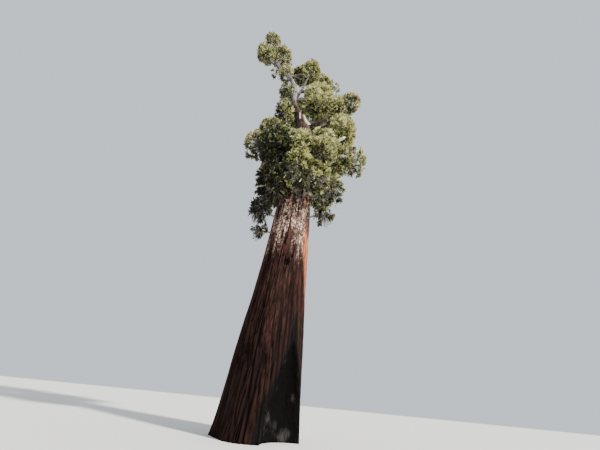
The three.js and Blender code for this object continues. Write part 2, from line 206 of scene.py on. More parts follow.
def trunkRadius(heights, angles):
    fade = np.exp(-np.maximum(heights, 0) / trunkPlan["flareHeight"])
    lobe = trunkPlan["lobeDepth"] * np.cos(trunkPlan["flareLobes"] * angles + trunkPlan["lobeTurn"])
    return stationValue(heights, 3) + fade * (trunkPlan["flareOut"] + lobe)


def bearingVector(degrees):
    angle = math.radians(degrees)
    return np.array([math.cos(angle), math.sin(angle), 0.0])


# Smooth seeded noise over points in space, from -1 to 1. Large odd numbers and shifts scramble
# each cell of its lattice.
scramble = {
    "axes": (73856093, 19349663, 83492791),
    "seed": 2654435761,
    "rounds": ((15, 2246822519), (13, 3266489917)),
    "lastShift": 16,
    "lowBits": 2 ** 32 - 1,
    "middle": 2.0 ** 31,
    "seedStep": 31,  # from one octave to the next
}


def latticeValue(cells, seed):
    lowBits = scramble["lowBits"]
    x, y, z = (cells[..., i].astype(np.int64) * odd for i, odd in enumerate(scramble["axes"]))
    mixed = (x ^ y ^ z ^ seed * scramble["seed"]) & lowBits
    for shift, odd in scramble["rounds"]:
        mixed = (mixed ^ (mixed >> shift)) * odd & lowBits
    return ((mixed ^ (mixed >> scramble["lastShift"])) & lowBits) / scramble["middle"] - 1


def fieldNoise(points, scale, seed, octaves=1):
    total, weight, size = 0.0, 0.0, 1.0
    for octave in range(octaves):
        p = points * np.asarray(scale) * size
        low = np.floor(p)
        f = p - low
        f = f * f * (3 - 2 * f)
        value = 0.0
        for corner in range(8):
            step = np.array([corner & 1, corner >> 1 & 1, corner >> 2 & 1])
            share = np.prod(np.where(step, f, 1 - f), -1)
            value = value + share * latticeValue(low + step, seed + scramble["seedStep"] * octave)
        total = total + value / size
        weight += 1 / size
        size *= 2
    return total / weight


def smoothStep(low, high, value):
    u = np.clip((value - low) / (high - low), 0, 1)
    return u * u * (3 - 2 * u)


def lengths(vectors):
    return np.linalg.norm(vectors, axis=-1)


def unit(vectors, shortest=1e-9):
    return vectors / np.maximum(lengths(vectors), shortest)[..., None]


def gapsBetween(points, others):
    return lengths(points[:, None] - others[None])


# Two directions square to a line's own, for the rings round it.
def crossAxes(ahead, steep=0.9):
    upright = np.abs(ahead[:, 2:]) > steep
    sideways = unit(np.cross(ahead, np.where(upright, [[1.0, 0, 0]], [[0, 0, 1.0]])))
    return sideways, np.cross(sideways, ahead)


# A shader node with its settings, and on its inputs either values or other nodes' sockets.
def addNode(tree, kind, inputs, **settings):
    node = tree.nodes.new("ShaderNode" + kind)
    for setting, value in settings.items():
        setattr(node, setting, value)
    for socket, value in inputs.items():
        if isinstance(value, bpy.types.NodeSocket):
            tree.links.new(value, node.inputs[socket])
        else:
            node.inputs[socket].default_value = value
    return node


# Shader groups for the finishes. They give out masks and heights only.
def newGroup(name, inputs, outputs):
    group = bpy.data.node_groups.new(name, "ShaderNodeTree")
    for label, value in inputs.items():
        socket = group.interface.new_socket(label, in_out="INPUT", socket_type="NodeSocketFloat")
        socket.default_value = value
    for label in outputs:
        group.interface.new_socket(label, in_out="OUTPUT", socket_type="NodeSocketFloat")
    entry = group.nodes.new("NodeGroupInput")
    leave = group.nodes.new("NodeGroupOutput")
    return group, entry.outputs, leave.inputs


def objectPlace(tree):
    return addNode(tree, "TexCoord", {}).outputs["Object"]


# A place drawn out by the group's own values, so that its pattern runs up the wood.
def drawnOut(group, entry, place):
    across, along = entry["Across"], entry["Along"]
    stretch = addNode(group, "CombineXYZ", {"X": across, "Y": across, "Z": along})
    scaled = addNode(group, "VectorMath", {0: place, 1: stretch.outputs["Vector"]}, operation="MULTIPLY")
    return scaled.outputs["Vector"]


# Between which values each mask eases from 0 to 1, or from 1 to 0 if it falls.
maskEdges = {
    "fine": (0.42, 0.62),
    "crack": (0, 0.12),
    "patch": (0.92, 1.12),
    "tone": (0.05, 0.6),
    "gap": (0.04, 0.22),
}


def easedMask(group, value, name, falling=False):
    low, high = maskEdges[name]
    inputs = {"Value": value, "From Min": low, "From Max": high}
    if falling:
        inputs.update({"To Min": 1.0, "To Max": 0.0})
    return addNode(group, "MapRange", inputs, interpolation_type="SMOOTHSTEP").outputs["Result"]


# Long fibres running up the wood: finer across than along.
def makeFibreGroup():
    values = {"Across": 18.0, "Along": 2.0, "Warp": 0.4}
    group, entry, leave = newGroup("barkFibre", values, ["Streak", "Fine", "Crack"])
    place = drawnOut(group, entry, objectPlace(group))
    noise = {"Scale": 1.0, "Detail": 4.0, "Roughness": 0.6, "Distortion": entry["Warp"], "Vector": place}
    streak = addNode(group, "TexNoise", noise).outputs["Fac"]
    cells = addNode(group, "TexVoronoi", {"Scale": 0.6, "Vector": place}, feature="DISTANCE_TO_EDGE")
    group.links.new(streak, leave["Streak"])
    group.links.new(easedMask(group, streak, "fine"), leave["Fine"])
    group.links.new(easedMask(group, cells.outputs["Distance"], "crack", falling=True), leave["Crack"])
    return group


# Soft uneven patches, for weather stains and lichen.
def makePatchGroup():
    group, entry, leave = newGroup("weatherPatch", {"Size": 1.0, "Cover": 0.5}, ["Mask"])
    noise = {"Scale": entry["Size"], "Detail": 3.0, "Vector": objectPlace(group)}
    cloud = addNode(group, "TexNoise", noise).outputs["Fac"]
    level = addNode(group, "Math", {0: cloud, 1: entry["Cover"]}, operation="ADD").outputs["Value"]
    group.links.new(easedMask(group, level, "patch"), leave["Mask"])
    return group


# Small plates of bark: a random tone for each one, and the gaps between them.
def makePlateGroup():
    group, entry, leave = newGroup("barkPlates", {"Across": 7.0, "Along": 2.5}, ["Tone", "Gap"])
    place = objectPlace(group)
    waver = addNode(group, "TexNoise", {"Scale": 3.0, "Vector": place}).outputs["Color"]
    shift = addNode(group, "VectorMath", {0: waver, 1: (0.5, 0.5, 0.5), 2: place}, operation="MULTIPLY_ADD")
    cells = {"Scale": 1.0, "Vector": drawnOut(group, entry, shift.outputs["Vector"])}
    plates = addNode(group, "TexVoronoi", cells)
    edges = addNode(group, "TexVoronoi", cells, feature="DISTANCE_TO_EDGE")
    tone = addNode(group, "SeparateColor", {"Color": plates.outputs["Color"]}).outputs["Red"]
    group.links.new(easedMask(group, tone, "tone"), leave["Tone"])
    group.links.new(easedMask(group, edges.outputs["Distance"], "gap", falling=True), leave["Gap"])
    return group


fibreGroup = makeFibreGroup()
patchGroup = makePatchGroup()
plateGroup = makePlateGroup()


def placeFibre(tree, across, along, warp):
    values = {"Across": across, "Along": along, "Warp": warp}
    return addNode(tree, "Group", values, node_tree=fibreGroup).outputs


def placePatch(tree, size, cover):
    return addNode(tree, "Group", {"Size": size, "Cover": cover}, node_tree=patchGroup).outputs


# Colours laid over a first one, each by its amount and its mask, which is a socket or the name
# of a mask on the mesh. Returns the socket of the result.
def layColours(tree, under, layers):
    for over, mask, amount in layers:
        if isinstance(mask, str):
            mask = addNode(tree, "Attribute", {}, attribute_name=mask).outputs["Fac"]
        if amount != 1:
            mask = addNode(tree, "Math", {0: mask, 1: amount}, operation="MULTIPLY").outputs["Value"]
        inputs = {"A": under, "B": over, "Factor": mask}
        for socket in ("A", "B"):
            if isinstance(inputs[socket], tuple):
                inputs[socket] = (*inputs[socket], 1)
        under = addNode(tree, "Mix", inputs, data_type="RGBA").outputs["Result"]
    return under


def addBump(tree, shader, heights, depth):
    bump = addNode(tree, "Bump", {"Height": heights, "Distance": depth, "Strength": 1.0})
    tree.links.new(bump.outputs["Normal"], shader.inputs["Normal"])


barkLook = {
    "roughness": 0.92,
    "gloss": 0.08,
    "fibre": (16.0, 0.5, 0.3),  # how fine across and along, and how warped
    "strand": (40.0, 2.0, 0.3),
    "plates": (9.5, 3.2),
    "patch": (0.9, 0.52),  # how small, and how much they cover
    "blotch": (1.7, 0.5),
    "relief": 0.03,
    # The red, rust and brown are darker than the bark's own colour, as painted shade over the trunk.
    "red": (0.036, 0.0128, 0.0095),
    "rust": (0.104, 0.0435, 0.0315),
    # Painted sunlight: the bright strip down the lit side, and its darker fibres.
    "paintedSunStrip": (0.50, 0.175, 0.085),
    "paintedSunStripFibre": (0.11, 0.036, 0.02),
    "brown": (0.022, 0.0095, 0.0085),
    # Weathered bark of the upper trunk, darkened further as painted shade.
    "weatheredAndShaded": (0.034, 0.023, 0.022),
    # Painted shade: darker towards the foot of the trunk.
    "paintedLowShade": (0.011, 0.0055, 0.0045),
    # Near black: on the fibres, in the gaps between plates, and in the bottom of the furrows as painted
    # shade.
    "furrow": (0.005, 0.0028, 0.0024),
    # Pale plates, brightened as painted sunlight, and the darker ground between them.
    "sunlitFlake": (0.94, 0.66, 0.53),
    "flakeShade": (0.30, 0.155, 0.108),
    "silver": (0.60, 0.56, 0.52),
    "silverShade": (0.085, 0.066, 0.066),
    # Burnt bark, near black, darkened further as painted shade of the hollow.
    "scorch": (0.004, 0.0032, 0.003),
}


def makeBarkMaterial():
    look = barkLook
    material, shader = newMaterial("furrowedBark", look["roughness"], look["gloss"])
    tree = material.node_tree
    fibre = placeFibre(tree, *look["fibre"])
    strand = placeFibre(tree, *look["strand"])
    patch = placePatch(tree, *look["patch"])
    blotch = placePatch(tree, *look["blotch"])
    across, along = look["plates"]
    plate = addNode(tree, "Group", {"Across": across, "Along": along}, node_tree=plateGroup).outputs
    # Painted sunlight: the bright strip, darker along its fibres.
    paintedSunStrip = layColours(tree, look["paintedSunStrip"], [(look["paintedSunStripFibre"], fibre["Fine"], 0.8)])
    # The plates, brightened as painted sunlight.
    flakes = layColours(tree, look["flakeShade"], [
        (look["sunlitFlake"], plate["Tone"], 1),
        (look["flakeShade"], strand["Streak"], 0.35),
        (look["furrow"], plate["Gap"], 0.85),
    ])
    silver = layColours(tree, look["silver"], [
        (look["silverShade"], strand["Streak"], 0.7),
        (look["silverShade"], fibre["Crack"], 0.7),
        (look["silverShade"], blotch["Mask"], 0.75),
    ])
    base = layColours(tree, look["red"], [
        (look["brown"], patch["Mask"], 0.8),
        (look["rust"], strand["Fine"], 0.8),
        (look["furrow"], fibre["Fine"], 0.9),
        (paintedSunStrip, "paintedSunStrip", 1),
        # Painted shade towards the foot.
        (look["paintedLowShade"], "paintedLowShade", 0.85),
        (look["weatheredAndShaded"], "weatherAndShade", 0.85),
        (flakes, "sunlitPeel", 1),
        (silver, "silver", 1),
        # Painted shade: near black in the bottom of the furrows.
        (look["furrow"], "furrow", 0.93),
        (look["scorch"], "scorch", 1),
    ])
    tree.links.new(base, shader.inputs["Base Color"])
    addBump(tree, shader, strand["Streak"], look["relief"])
    return material


# The plainer woods. Each layer has its colour, the mask that lays it on, and its amount.
woodLooks = {
    # Char, darker than charcoal: burnt wood with painted shade of the hollow.
    "charredAndShadedWood": {
        "roughness": 0.85, "gloss": 0.04, "fibre": (17.0, 5.0, 0.4), "patch": (1.6, 0.36), "relief": 0.04,
        "colour": (0.0015, 0.0012, 0.0012),
        "layers": [
            ((0.006, 0.005, 0.0045), "Streak", 0.6),
            ((0.085, 0.075, 0.070), "Mask", 0.5),
            ((0.002, 0.002, 0.002), "Crack", 0.7),
        ],
    },
    "weatheredLimbBark": {
        "roughness": 0.9, "gloss": 0.3, "fibre": (22.0, 9.0, 0.8), "patch": (2.2, 0.5), "relief": 0.015,
        "colour": (0.055, 0.040, 0.036),
        "layers": [
            ((0.17, 0.14, 0.13), "Mask", 0.7),
            ((0.05, 0.03, 0.024), "Streak", 0.55),
            ((0.03, 0.02, 0.017), "furrow", 0.8),
        ],
    },
    "bleachedWood": {
        "roughness": 0.82, "gloss": 0.3, "fibre": (30.0, 6.0, 0.3), "patch": (3.0, 0.42), "relief": 0.012,
        "colour": (0.90, 0.83, 0.68),
        "layers": [
            ((0.50, 0.42, 0.33), "Streak", 0.5),
            ((0.33, 0.25, 0.19), "Mask", 0.5),
            ((0.07, 0.045, 0.035), "furrow", 0.8),
        ],
    },
}


def makeWoodMaterial(name):
    look = woodLooks[name]
    material, shader = newMaterial(name, look["roughness"], look["gloss"])
    tree = material.node_tree
    fibre = placeFibre(tree, *look["fibre"])
    masks = dict([*fibre.items(), *placePatch(tree, *look["patch"]).items()])
    layers = [(colour, masks.get(mask, mask), amount) for colour, mask, amount in look["layers"]]
    tree.links.new(layColours(tree, look["colour"], layers), shader.inputs["Base Color"])
    addBump(tree, shader, fibre["Streak"], look["relief"])
    return material


barkMaterial = makeBarkMaterial()
charAndShadeMaterial = makeWoodMaterial("charredAndShadedWood")
limbMaterial = makeWoodMaterial("weatheredLimbBark")
deadMaterial = makeWoodMaterial("bleachedWood")
print("wood finishes made")


# A grid rolled into a tube: place gives each point from its turn (radians) and share of the
# way along, both as arrays. The seam is merged, the start is filled, and the far end closes
# to a point.
def rolledTube(name, sides, rows, place, mergeGap=1e-5):
    bm = bmesh.new()
    bmesh.ops.create_grid(bm, x_segments=sides, y_segments=rows, size=1)
    flat = np.array([vert.co[:] for vert in bm.verts])
    points = place((flat[:, 0] + 1) * math.pi, (flat[:, 1] + 1) / 2)
    for vert, point in zip(bm.verts, points):
        vert.co = point
    bmesh.ops.remove_doubles(bm, verts=bm.verts, dist=mergeGap)
    rim = [edge for edge in bm.edges if edge.is_boundary]
    bmesh.ops.holes_fill(bm, edges=rim, sides=0)
    bmesh.ops.recalc_face_normals(bm, faces=bm.faces)
    for face in bm.faces:
        face.smooth = len(face.verts) <= 4
    return objectFrom(bm, name)


def setMask(piece, name, values):
    layer = piece.data.attributes.new(name, "FLOAT", "POINT")
    layer.data.foreach_set("value", np.asarray(values, np.float32))


def meshPoints(piece):
    points = np.empty(len(piece.data.vertices) * 3)
    piece.data.vertices.foreach_get("co", points)
    return points.reshape(-1, 3)


# Trunk. A noise says how fine it is across, across and along, its seed and its octaves. A
# band of finish says where it starts, where it is full, and how far patches shift both.
trunkDetail = {
    "sides": 300,
    "rows": 330,
    "top": 38.7,
    "crowding": 0.527,  # how much closer the rows are at the foot
    "noiseRadius": 1.2,  # of the cylinder that the noises are read on
    "noise": {
        "wander": ((0.8, 0.8, 0.3), 40, 3),
        "ridges": ((7.5, 7.5, 0.26), 41, 2),
        "strands": ((13.0, 13.0, 0.7), 42, 2),
        "lumps": ((0.9, 0.9, 0.22), 60, 2),
        "grain": ((11, 11, 1.4), 61, 3),
        "patches": ((2.6, 2.6, 0.45), 62, 3),
        "peelGaps": ((6.5, 6.5, 1.6), 63, 3),
        "hollowRim": (2.4, 71, 2),
    },
    "wanderTurn": 0.16,
    "ridgeEdges": (0.17, 0.01),
    "strandEdges": (0.14, 0.01),
    "strandShare": 0.6,
    "furrowDepths": [(0, 0.075), (7, 0.06), (13, 0.04), (19, 0.028), (25, 0.014), (39, 0.004)],
    "ridgeShare": 0.3,  # how much of a furrow's depth the ridges stand proud
    "grainDepth": 0.016,
    "lumpDepth": 0.07,
    "mostProud": 0.035,
    # Where the plates of painted sunlight start above the painted shade, and where they are full.
    "sunlitPeel": (6.6, 9.0, 3.0),
    # Upper trunk: weathered bark with painted shade.
    "weatherAndShade": (14.5, 19.0, 2.0),
    "silver": (21.5, 26.0, 2.6),
    # Painted shade: it grows from this height down to the foot.
    "paintedLowShade": (8.5, 0, 2.5),
    "peelGapEdges": (-0.42, -0.15),
    "weatheredPeel": 0.8,  # how much of the peeling the weathered top lacks
    "shadedPeel": 0.5,  # how much of it the shaded left side lacks
    "shadedEdges": (-0.2, -0.85),
    # The strip of painted sunlight down the lit side: its bearing, its width by height, how ragged it is
    # and its soft edge.
    "paintedSunSide": 2,  # bearing of the bright strip that runs down from the plates
    "paintedSunWidth": [(3.2, 0), (5, 24), (7, 42), (9, 52), (12, 52)],
    "paintedSunRagged": 0.3,
    "paintedSunSoft": 4,
    "knots": [  # bearing, height, half width, half height
        (-82, 5.9, 0.14, 0.19), (-93, 6.2, 0.05, 0.08), (-71, 6.25, 0.06, 0.11), (-108, 8.9, 0.06, 0.10),
    ],
    "knotEdges": (1.25, 0.7),
    "knotDepth": 0.12,
}
hollow = {
    "bearing": -46,
    "halfWidth": 0.92,
    "depth": 0.78,
    "height": 2.85,
    "closing": 0.985,
    "closingPower": 1.5,
    "depthPower": 0.8,
    "belowGround": 0.055,
    "outsideBark": 0.04,
    "ragged": 0.07,
    "grain": 1.6,  # how much coarser the grain is on the burnt wall
    "seamHeight": 3.9,
    "seamWidth": (0.15, 0.05),  # of the burnt seam above the hollow, and of its soft edge
    "singe": (0.13, 0.06),  # how far round the hollow the bark is singed, and how raggedly
}


def trunkNoise(name, points):
    return fieldNoise(points, *trunkDetail["noise"][name])


def trunkStops(name, heights):
    return np.interp(heights, *np.array(trunkDetail[name], float).T)


def onCylinder(turns, heights, radius=trunkDetail["noiseRadius"]):
    return np.stack([np.cos(turns) * radius, np.sin(turns) * radius, heights], -1)


# How far turns are from a bearing, either way round.
def turnedFrom(turns, bearing):
    return np.angle(np.exp(1j * (turns - math.radians(bearing))))


# 0 on the ridges, 1 in the bottom of a furrow. Furrows run where a stretched noise is near zero,
# so they wander, fork and meet.
def furrowAt(turns, heights):
    wander = trunkNoise("wander", onCylinder(turns, heights)) * trunkDetail["wanderTurn"]
    spots = onCylinder(turns + wander, heights)
    ridge = smoothStep(*trunkDetail["ridgeEdges"], np.abs(trunkNoise("ridges", spots)))
    strand = smoothStep(*trunkDetail["strandEdges"], np.abs(trunkNoise("strands", spots)))
    return np.maximum(ridge, trunkDetail["strandShare"] * strand)


# Knot holes: how far a point is inside one, from 0 to 1.
def knotAt(turns, heights):
    inside = np.zeros_like(heights)
    for bearing, height, wide, tall in trunkDetail["knots"]:
        across = turnedFrom(turns, bearing) * stationValue(heights, 3) / wide
        away = np.hypot(across, (heights - height) / tall)
        inside = np.maximum(inside, smoothStep(*trunkDetail["knotEdges"], away))
    return inside


def hollowNarrowing(share):
    return 1 - hollow["closing"] * share ** hollow["closingPower"]


# How far points of the bark are pushed in along the hollow's facing, if they are inside it, and
# how far they are to its side.
def hollowCut(points, heights):
    facing = bearingVector(hollow["bearing"])
    sideways = np.array([-facing[1], facing[0], 0])
    level = np.clip(heights, 0, None)
    below = hollow["belowGround"]
    narrowing = hollowNarrowing(np.clip((heights + below) / (hollow["height"] + below), 0, 1))
    away = points - trunkCentre(level)
    side, out = away @ sideways, away @ facing
    half = hollow["halfWidth"] * narrowing * (1 + hollow["ragged"] * trunkNoise("hollowRim", points))
    face = trunkRadius(level, np.full_like(level, math.radians(hollow["bearing"])))
    across = np.clip(1 - (side / half) ** 2, 0, 1) ** 0.5
    wall = face + hollow["outsideBark"] - hollow["depth"] * narrowing ** hollow["depthPower"] * across
    inside = (np.abs(side) < half) & (out > wall) & (heights < hollow["height"])
    return np.where(inside, out - wall, 0), inside, side


def trunkSurface(turns, shares):
    crowding = trunkDetail["crowding"]
    heights = trunkDetail["top"] * (crowding * shares + (1 - crowding) * shares ** 2)
    radius = trunkRadius(heights, turns)
    thick = np.clip(radius, 0, 1)
    outward = onCylinder(turns, np.zeros_like(turns), 1)
    bark = trunkCentre(heights) + outward * radius[:, None]
    push, inside = hollowCut(bark, heights)[:2]
    depth = trunkStops("furrowDepths", heights)
    spots = onCylinder(turns, heights)
    lumps = trunkNoise("lumps", spots) * trunkDetail["lumpDepth"] * thick
    grain = trunkNoise("grain", spots) * trunkDetail["grainDepth"] * thick
    relief = lumps + grain - depth * furrowAt(turns, heights) + depth * trunkDetail["ridgeShare"]
    relief = relief - trunkDetail["knotDepth"] * knotAt(turns, heights)
    relief = np.where(inside, grain * hollow["grain"], relief)
    relief = np.where(shares >= 1, -radius, relief)
    relief = np.minimum(relief, trunkDetail["mostProud"])
    points = bark + outward * relief[:, None] - bearingVector(hollow["bearing"]) * push[:, None]
    points[:, 2] = np.clip(points[:, 2], 0, None)
    return points


def bandMask(name, heights, patchy):
    start, full, shift = trunkDetail[name]
    return smoothStep(start, full, heights + shift * patchy)


# The pale peeling plates, real peeling brightened as painted sunlight: their band starts where the painted
# shade below ends. They have gaps, and there are fewer where the bark is weathered, and on the left side as
# painted shade.
def sunlitPeelMask(turns, heights, patchy, weatherAndShade):
    gaps = smoothStep(*trunkDetail["peelGapEdges"], trunkNoise("peelGaps", onCylinder(turns, heights)))
    shade = smoothStep(*trunkDetail["shadedEdges"], np.cos(turns))
    sunlitPeel = bandMask("sunlitPeel", heights, patchy) * gaps * (1 - trunkDetail["weatheredPeel"] * weatherAndShade)
    return sunlitPeel * (1 - trunkDetail["shadedPeel"] * shade)


# Painted sunlight: a bright strip down the lit side, between the plates and the dark lower bark.
def paintedSunStripMask(turns, heights, patchy, weatherAndShade):
    width = trunkStops("paintedSunWidth", heights) * (1 + trunkDetail["paintedSunRagged"] * patchy)
    turned = np.degrees(np.abs(turnedFrom(turns, trunkDetail["paintedSunSide"])))
    soft = trunkDetail["paintedSunSoft"]
    return smoothStep(soft, -soft, turned - width) * (1 - weatherAndShade) * (width > 0)


# Burnt bark: the seam above the hollow and the singed band round it. The knot holes are painted as dark as
# these.
def burnMask(turns, heights, patchy, away, side):
    front = (away @ bearingVector(hollow["bearing"])) > 0
    wide, soft = hollow["seamWidth"]
    seam = wide * smoothStep(hollow["seamHeight"], hollow["height"], heights)
    scorch = front * smoothStep(seam + soft, seam, side) * (heights < hollow["seamHeight"])
    reach, ragged = hollow["singe"]
    rim = hollow["halfWidth"] * hollowNarrowing(np.clip(heights / hollow["height"], 0, 1))
    singe = front * smoothStep(reach, 0.0, side - rim - ragged * patchy) * (heights < hollow["height"])
    return np.maximum(np.maximum(scorch, singe), knotAt(turns, heights))


def makeTrunk():
    piece = rolledTube("trunkBark", trunkDetail["sides"], trunkDetail["rows"], trunkSurface)
    points = meshPoints(piece)
    heights = points[:, 2]
    away = points - trunkCentre(heights)
    turns = np.arctan2(away[:, 1], away[:, 0])
    bark = trunkCentre(heights) + onCylinder(turns, heights * 0, 1) * trunkRadius(heights, turns)[:, None]
    inside, side = hollowCut(bark, heights)[1:]
    patchy = trunkNoise("patches", onCylinder(turns, heights))
    weatherAndShade = bandMask("weatherAndShade", heights, patchy)
    # Painted shade in the bottom of the furrows.
    setMask(piece, "furrow", furrowAt(turns, heights) * ~inside)
    # Plates brightened as painted sunlight, fewer on the left as painted shade.
    setMask(piece, "sunlitPeel", sunlitPeelMask(turns, heights, patchy, weatherAndShade))
    # Weathered bark with painted shade on the upper trunk.
    setMask(piece, "weatherAndShade", weatherAndShade)
    # Painted sunlight: where the bright strip runs.
    setMask(piece, "paintedSunStrip", paintedSunStripMask(turns, heights, patchy, weatherAndShade))
    # Painted shade towards the foot of the trunk.
    setMask(piece, "paintedLowShade", bandMask("paintedLowShade", heights, patchy))
    setMask(piece, "silver", bandMask("silver", heights, patchy))
    burn = burnMask(turns, heights, patchy, away, np.abs(side))
    setMask(piece, "scorch", np.clip(burn + inside, 0, 1))
    piece.data.materials.append(barkMaterial)
    piece.data.materials.append(charAndShadeMaterial)
    burnt = [int(all(inside[i] for i in face.vertices)) for face in piece.data.polygons]
    piece.data.polygons.foreach_set("material_index", burnt)
    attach(piece, "root")
    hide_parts("trunk")


makeTrunk()
print("trunk rolled")


# Foliage clumps: middle, half width, half height, painted sun from 0 (dark, painted shade) to 1 (bright,
# painted sunlight), the share of bronze tips, and how open it is.
clumps = [
    ["leader_top", -5.2, -1.5, 38.1, 1.12, 1.9, 0.55, 0.16, 0.3],
    ["leader_left", -5.6, -1.05, 34.5, 1.25, 2.15, 0.48, 0.14, 0.36],
    ["leader_under", -4.85, -1.4, 32.5, 0.98, 1.4, 0.5, 0.1, 0.36],
    ["leader_low", -2.6, -0.4, 30.35, 1.02, 1.6, 0.5, 0.1, 0.34],
    ["leader_right", -3.55, -0.75, 34.6, 1.5, 2.35, 0.55, 0.18, 0.34],
    ["leader_droop", -3.85, -0.55, 29.8, 0.55, 0.9, 0.45, 0.06, 0.3],
    ["centre_left", -1.0, -0.1, 31.4, 1.15, 2.1, 0.48, 0.06, 0.32],
    ["centre_top", 0.05, 0.3, 33.4, 1.55, 2.6, 0.54, 0.16, 0.3],
    ["centre_right", 1.9, 0.4, 30.2, 1.22, 2.4, 0.56, 0.08, 0.26],
    ["right_tuft", 3.2, -0.45, 27.8, 0.48, 0.85, 0.5, 0.05, 0.25],
    ["left_column", -1.98, -0.2, 26.0, 0.88, 2.7, 0.26, 0.04, 0.26],
    ["knob_right", 4.2, -1.2, 22.5, 0.95, 1.35, 0.6, 0.2, 0.22],
    ["right_upper", 1.35, 0.3, 25.9, 1.75, 2.9, 0.86, 0.06, 0.1],
    ["right_shoulder", 3.15, -0.4, 22.4, 1.35, 2.2, 0.8, 0.08, 0.12],
    ["upper_left", -1.62, -0.3, 21.2, 1.05, 2.2, 0.2, 0.04, 0.18],
    ["shoulder_left", -2.4, -0.2, 17.9, 1.08, 1.95, 0.27, 0.1, 0.15],
    ["left_inner", -1.3, -1.2, 15.6, 1.05, 2.0, 0.25, 0.02, 0.1],
    ["right_inner", 1.68, -1.5, 14.6, 1.2, 1.8, 0.64, 0.02, 0.08],
    ["right_mid", 3.25, -0.5, 18.5, 1.35, 2.1, 0.74, 0.08, 0.14],
    ["left_outer", -3.0, -0.6, 15.2, 0.98, 1.8, 0.5, 0.22, 0.3],
    ["left_front", -1.25, -1.8, 13.6, 1.35, 2.3, 0.43, 0, 0.08],
    ["front_upper", 0.35, -2.2, 12.95, 1.08, 1.65, 0.68, 0.02, 0.04],
    ["front_right", 1.55, -2.3, 12.7, 1.0, 1.6, 0.68, 0.03, 0.05],
    ["right_outer", 3.93, -0.9, 14.2, 0.98, 1.6, 0.58, 0.2, 0.32],
    ["right_below", 2.8, -0.9, 14.3, 1.1, 1.7, 0.5, 0.06, 0.3],
    ["front_mid", 0.4, -2.15, 10.9, 1.12, 1.8, 0.66, 0.02, 0.1],
    ["front_low", 1.35, -1.9, 10.75, 0.95, 1.65, 0.6, 0.02, 0.12],
    ["left_low", -1.1, -1.3, 10.6, 1.12, 1.95, 0.44, 0, 0.1],
    ["right_low", 2.25, -0.9, 11.0, 0.98, 1.6, 0.28, 0.04, 0.42],
    ["left_hanging", -1.5, -0.7, 9.2, 0.72, 1.2, 0.42, 0, 0.26],
    ["right_hanging", 1.95, -0.85, 9.3, 0.66, 1.15, 0.24, 0.04, 0.48],
    ["left_tuft", -1.38, -0.6, 8.0, 0.5, 0.85, 0.4, 0, 0.26],
    ["back_low_left", -1.4, 1.5, 13.4, 1.3, 2.1, 0.35, 0.05, 0.15],
    ["back_low_right", 1.9, 1.6, 13.8, 1.4, 2.1, 0.5, 0.06, 0.15],
    ["back_mid", 0.3, 2.4, 15.6, 1.5, 2.2, 0.45, 0.06, 0.15],
    ["back_left", -2.2, 1.4, 17.9, 1.4, 2.5, 0.42, 0.08, 0.15],
    ["back_right", 2.6, 1.6, 17.6, 1.5, 2.3, 0.55, 0.08, 0.15],
    ["back_upper", 0.4, 1.9, 19.8, 1.5, 2.3, 0.5, 0.06, 0.15],
    ["back_high_right", 1.9, 1.6, 22.8, 1.5, 2.3, 0.55, 0.08, 0.15],
    ["back_high", -0.6, 1.25, 24.6, 1.4, 2.9, 0.5, 0.08, 0.15],
]
middles = np.array([clump[1:4] for clump in clumps])
halves = np.array([[clump[4], clump[4], clump[5]] for clump in clumps])
clumpIndex = {clump[0]: k for k, clump in enumerate(clumps)}


# Share of the way from a clump's middle to its edge, for every point and every clump.
def spaceShares(points):
    return lengths((points[:, None] - middles[None]) / halves[None])


# Boughs: the clump each one carries, how far below its middle it starts, its radius there and
# at its tip, how much it sags, and the bough that it forks from if it doesn't leave the trunk.
boughs = [
    ["centre_top", 9.1, 0.17, 0.1, 2.4, None],
    ["centre_right", 2.6, 0.14, 0.07, 0.3, "centre_top"],
    ["right_tuft", 0.6, 0.09, 0.04, 0.2, "centre_top"],
    ["leader_left", 1.6, 0.12, 0.07, 0.2, None],
    ["leader_right", 3.2, 0.14, 0.08, 0.2, None],
    ["knob_right", 4.7, 0.24, 0.08, 0.5, None],
    ["right_shoulder", 2.6, 0.2, 0.09, 0.4, None],
    ["right_mid", 2.2, 0.24, 0.1, 0.4, None],
    ["right_outer", 0.9, 0.24, 0.08, 0.3, None],
    ["shoulder_left", 1.5, 0.2, 0.09, 0.3, None],
    ["left_outer", 1.3, 0.22, 0.09, 0.3, None],
    ["right_low", 0.4, 0.14, 0.06, 0.1, None],
    ["back_left", 1.8, 0.22, 0.09, 0.3, None],
    ["back_right", 2.0, 0.24, 0.1, 0.4, None],
    ["back_high_right", 2.2, 0.2, 0.09, 0.3, None],
    ["back_mid", 2.0, 0.22, 0.1, 0.3, None],
]
boughDetail = {
    "bend": 0.6, "aimLow": 0.3, "tipStep": 0.01, "seed": 300, "sides": 28, "rows": 60,
    "gnarl": 0.16, "furrows": 9, "furrowDepth": 0.12, "collar": 0.3, "broken": 0,
}


def curvePoint(curve, shares):
    start, bend, end = curve
    u = np.asarray(shares, float)[..., None]
    return start * (1 - u) ** 2 + bend * 2 * u * (1 - u) + end * u * u


def boughRoute(bough, routes):
    name, drop, base, tip, sag, parent = bough
    k = clumpIndex[name]
    leaves = middles[k][2] - drop
    if parent:
        carrier = routes[parent]["curve"]
        rise = (leaves - carrier[0][2]) / (carrier[2][2] - carrier[0][2])
        start = curvePoint(carrier, min(max(rise, 0), 1))
    else:
        start = trunkCentre(leaves)
    aim = middles[k] - np.array([0, 0, boughDetail["aimLow"] * halves[k][2]])
    end = start.copy()
    while lengths((end - middles[k]) / halves[k]) > 1:
        end += (aim - start) * boughDetail["tipStep"]
    bend = start + (end - start) * boughDetail["bend"]
    bend[2] -= sag * boughDetail["bend"]
    return {"curve": (start, bend, end), "radii": (base, tip)}


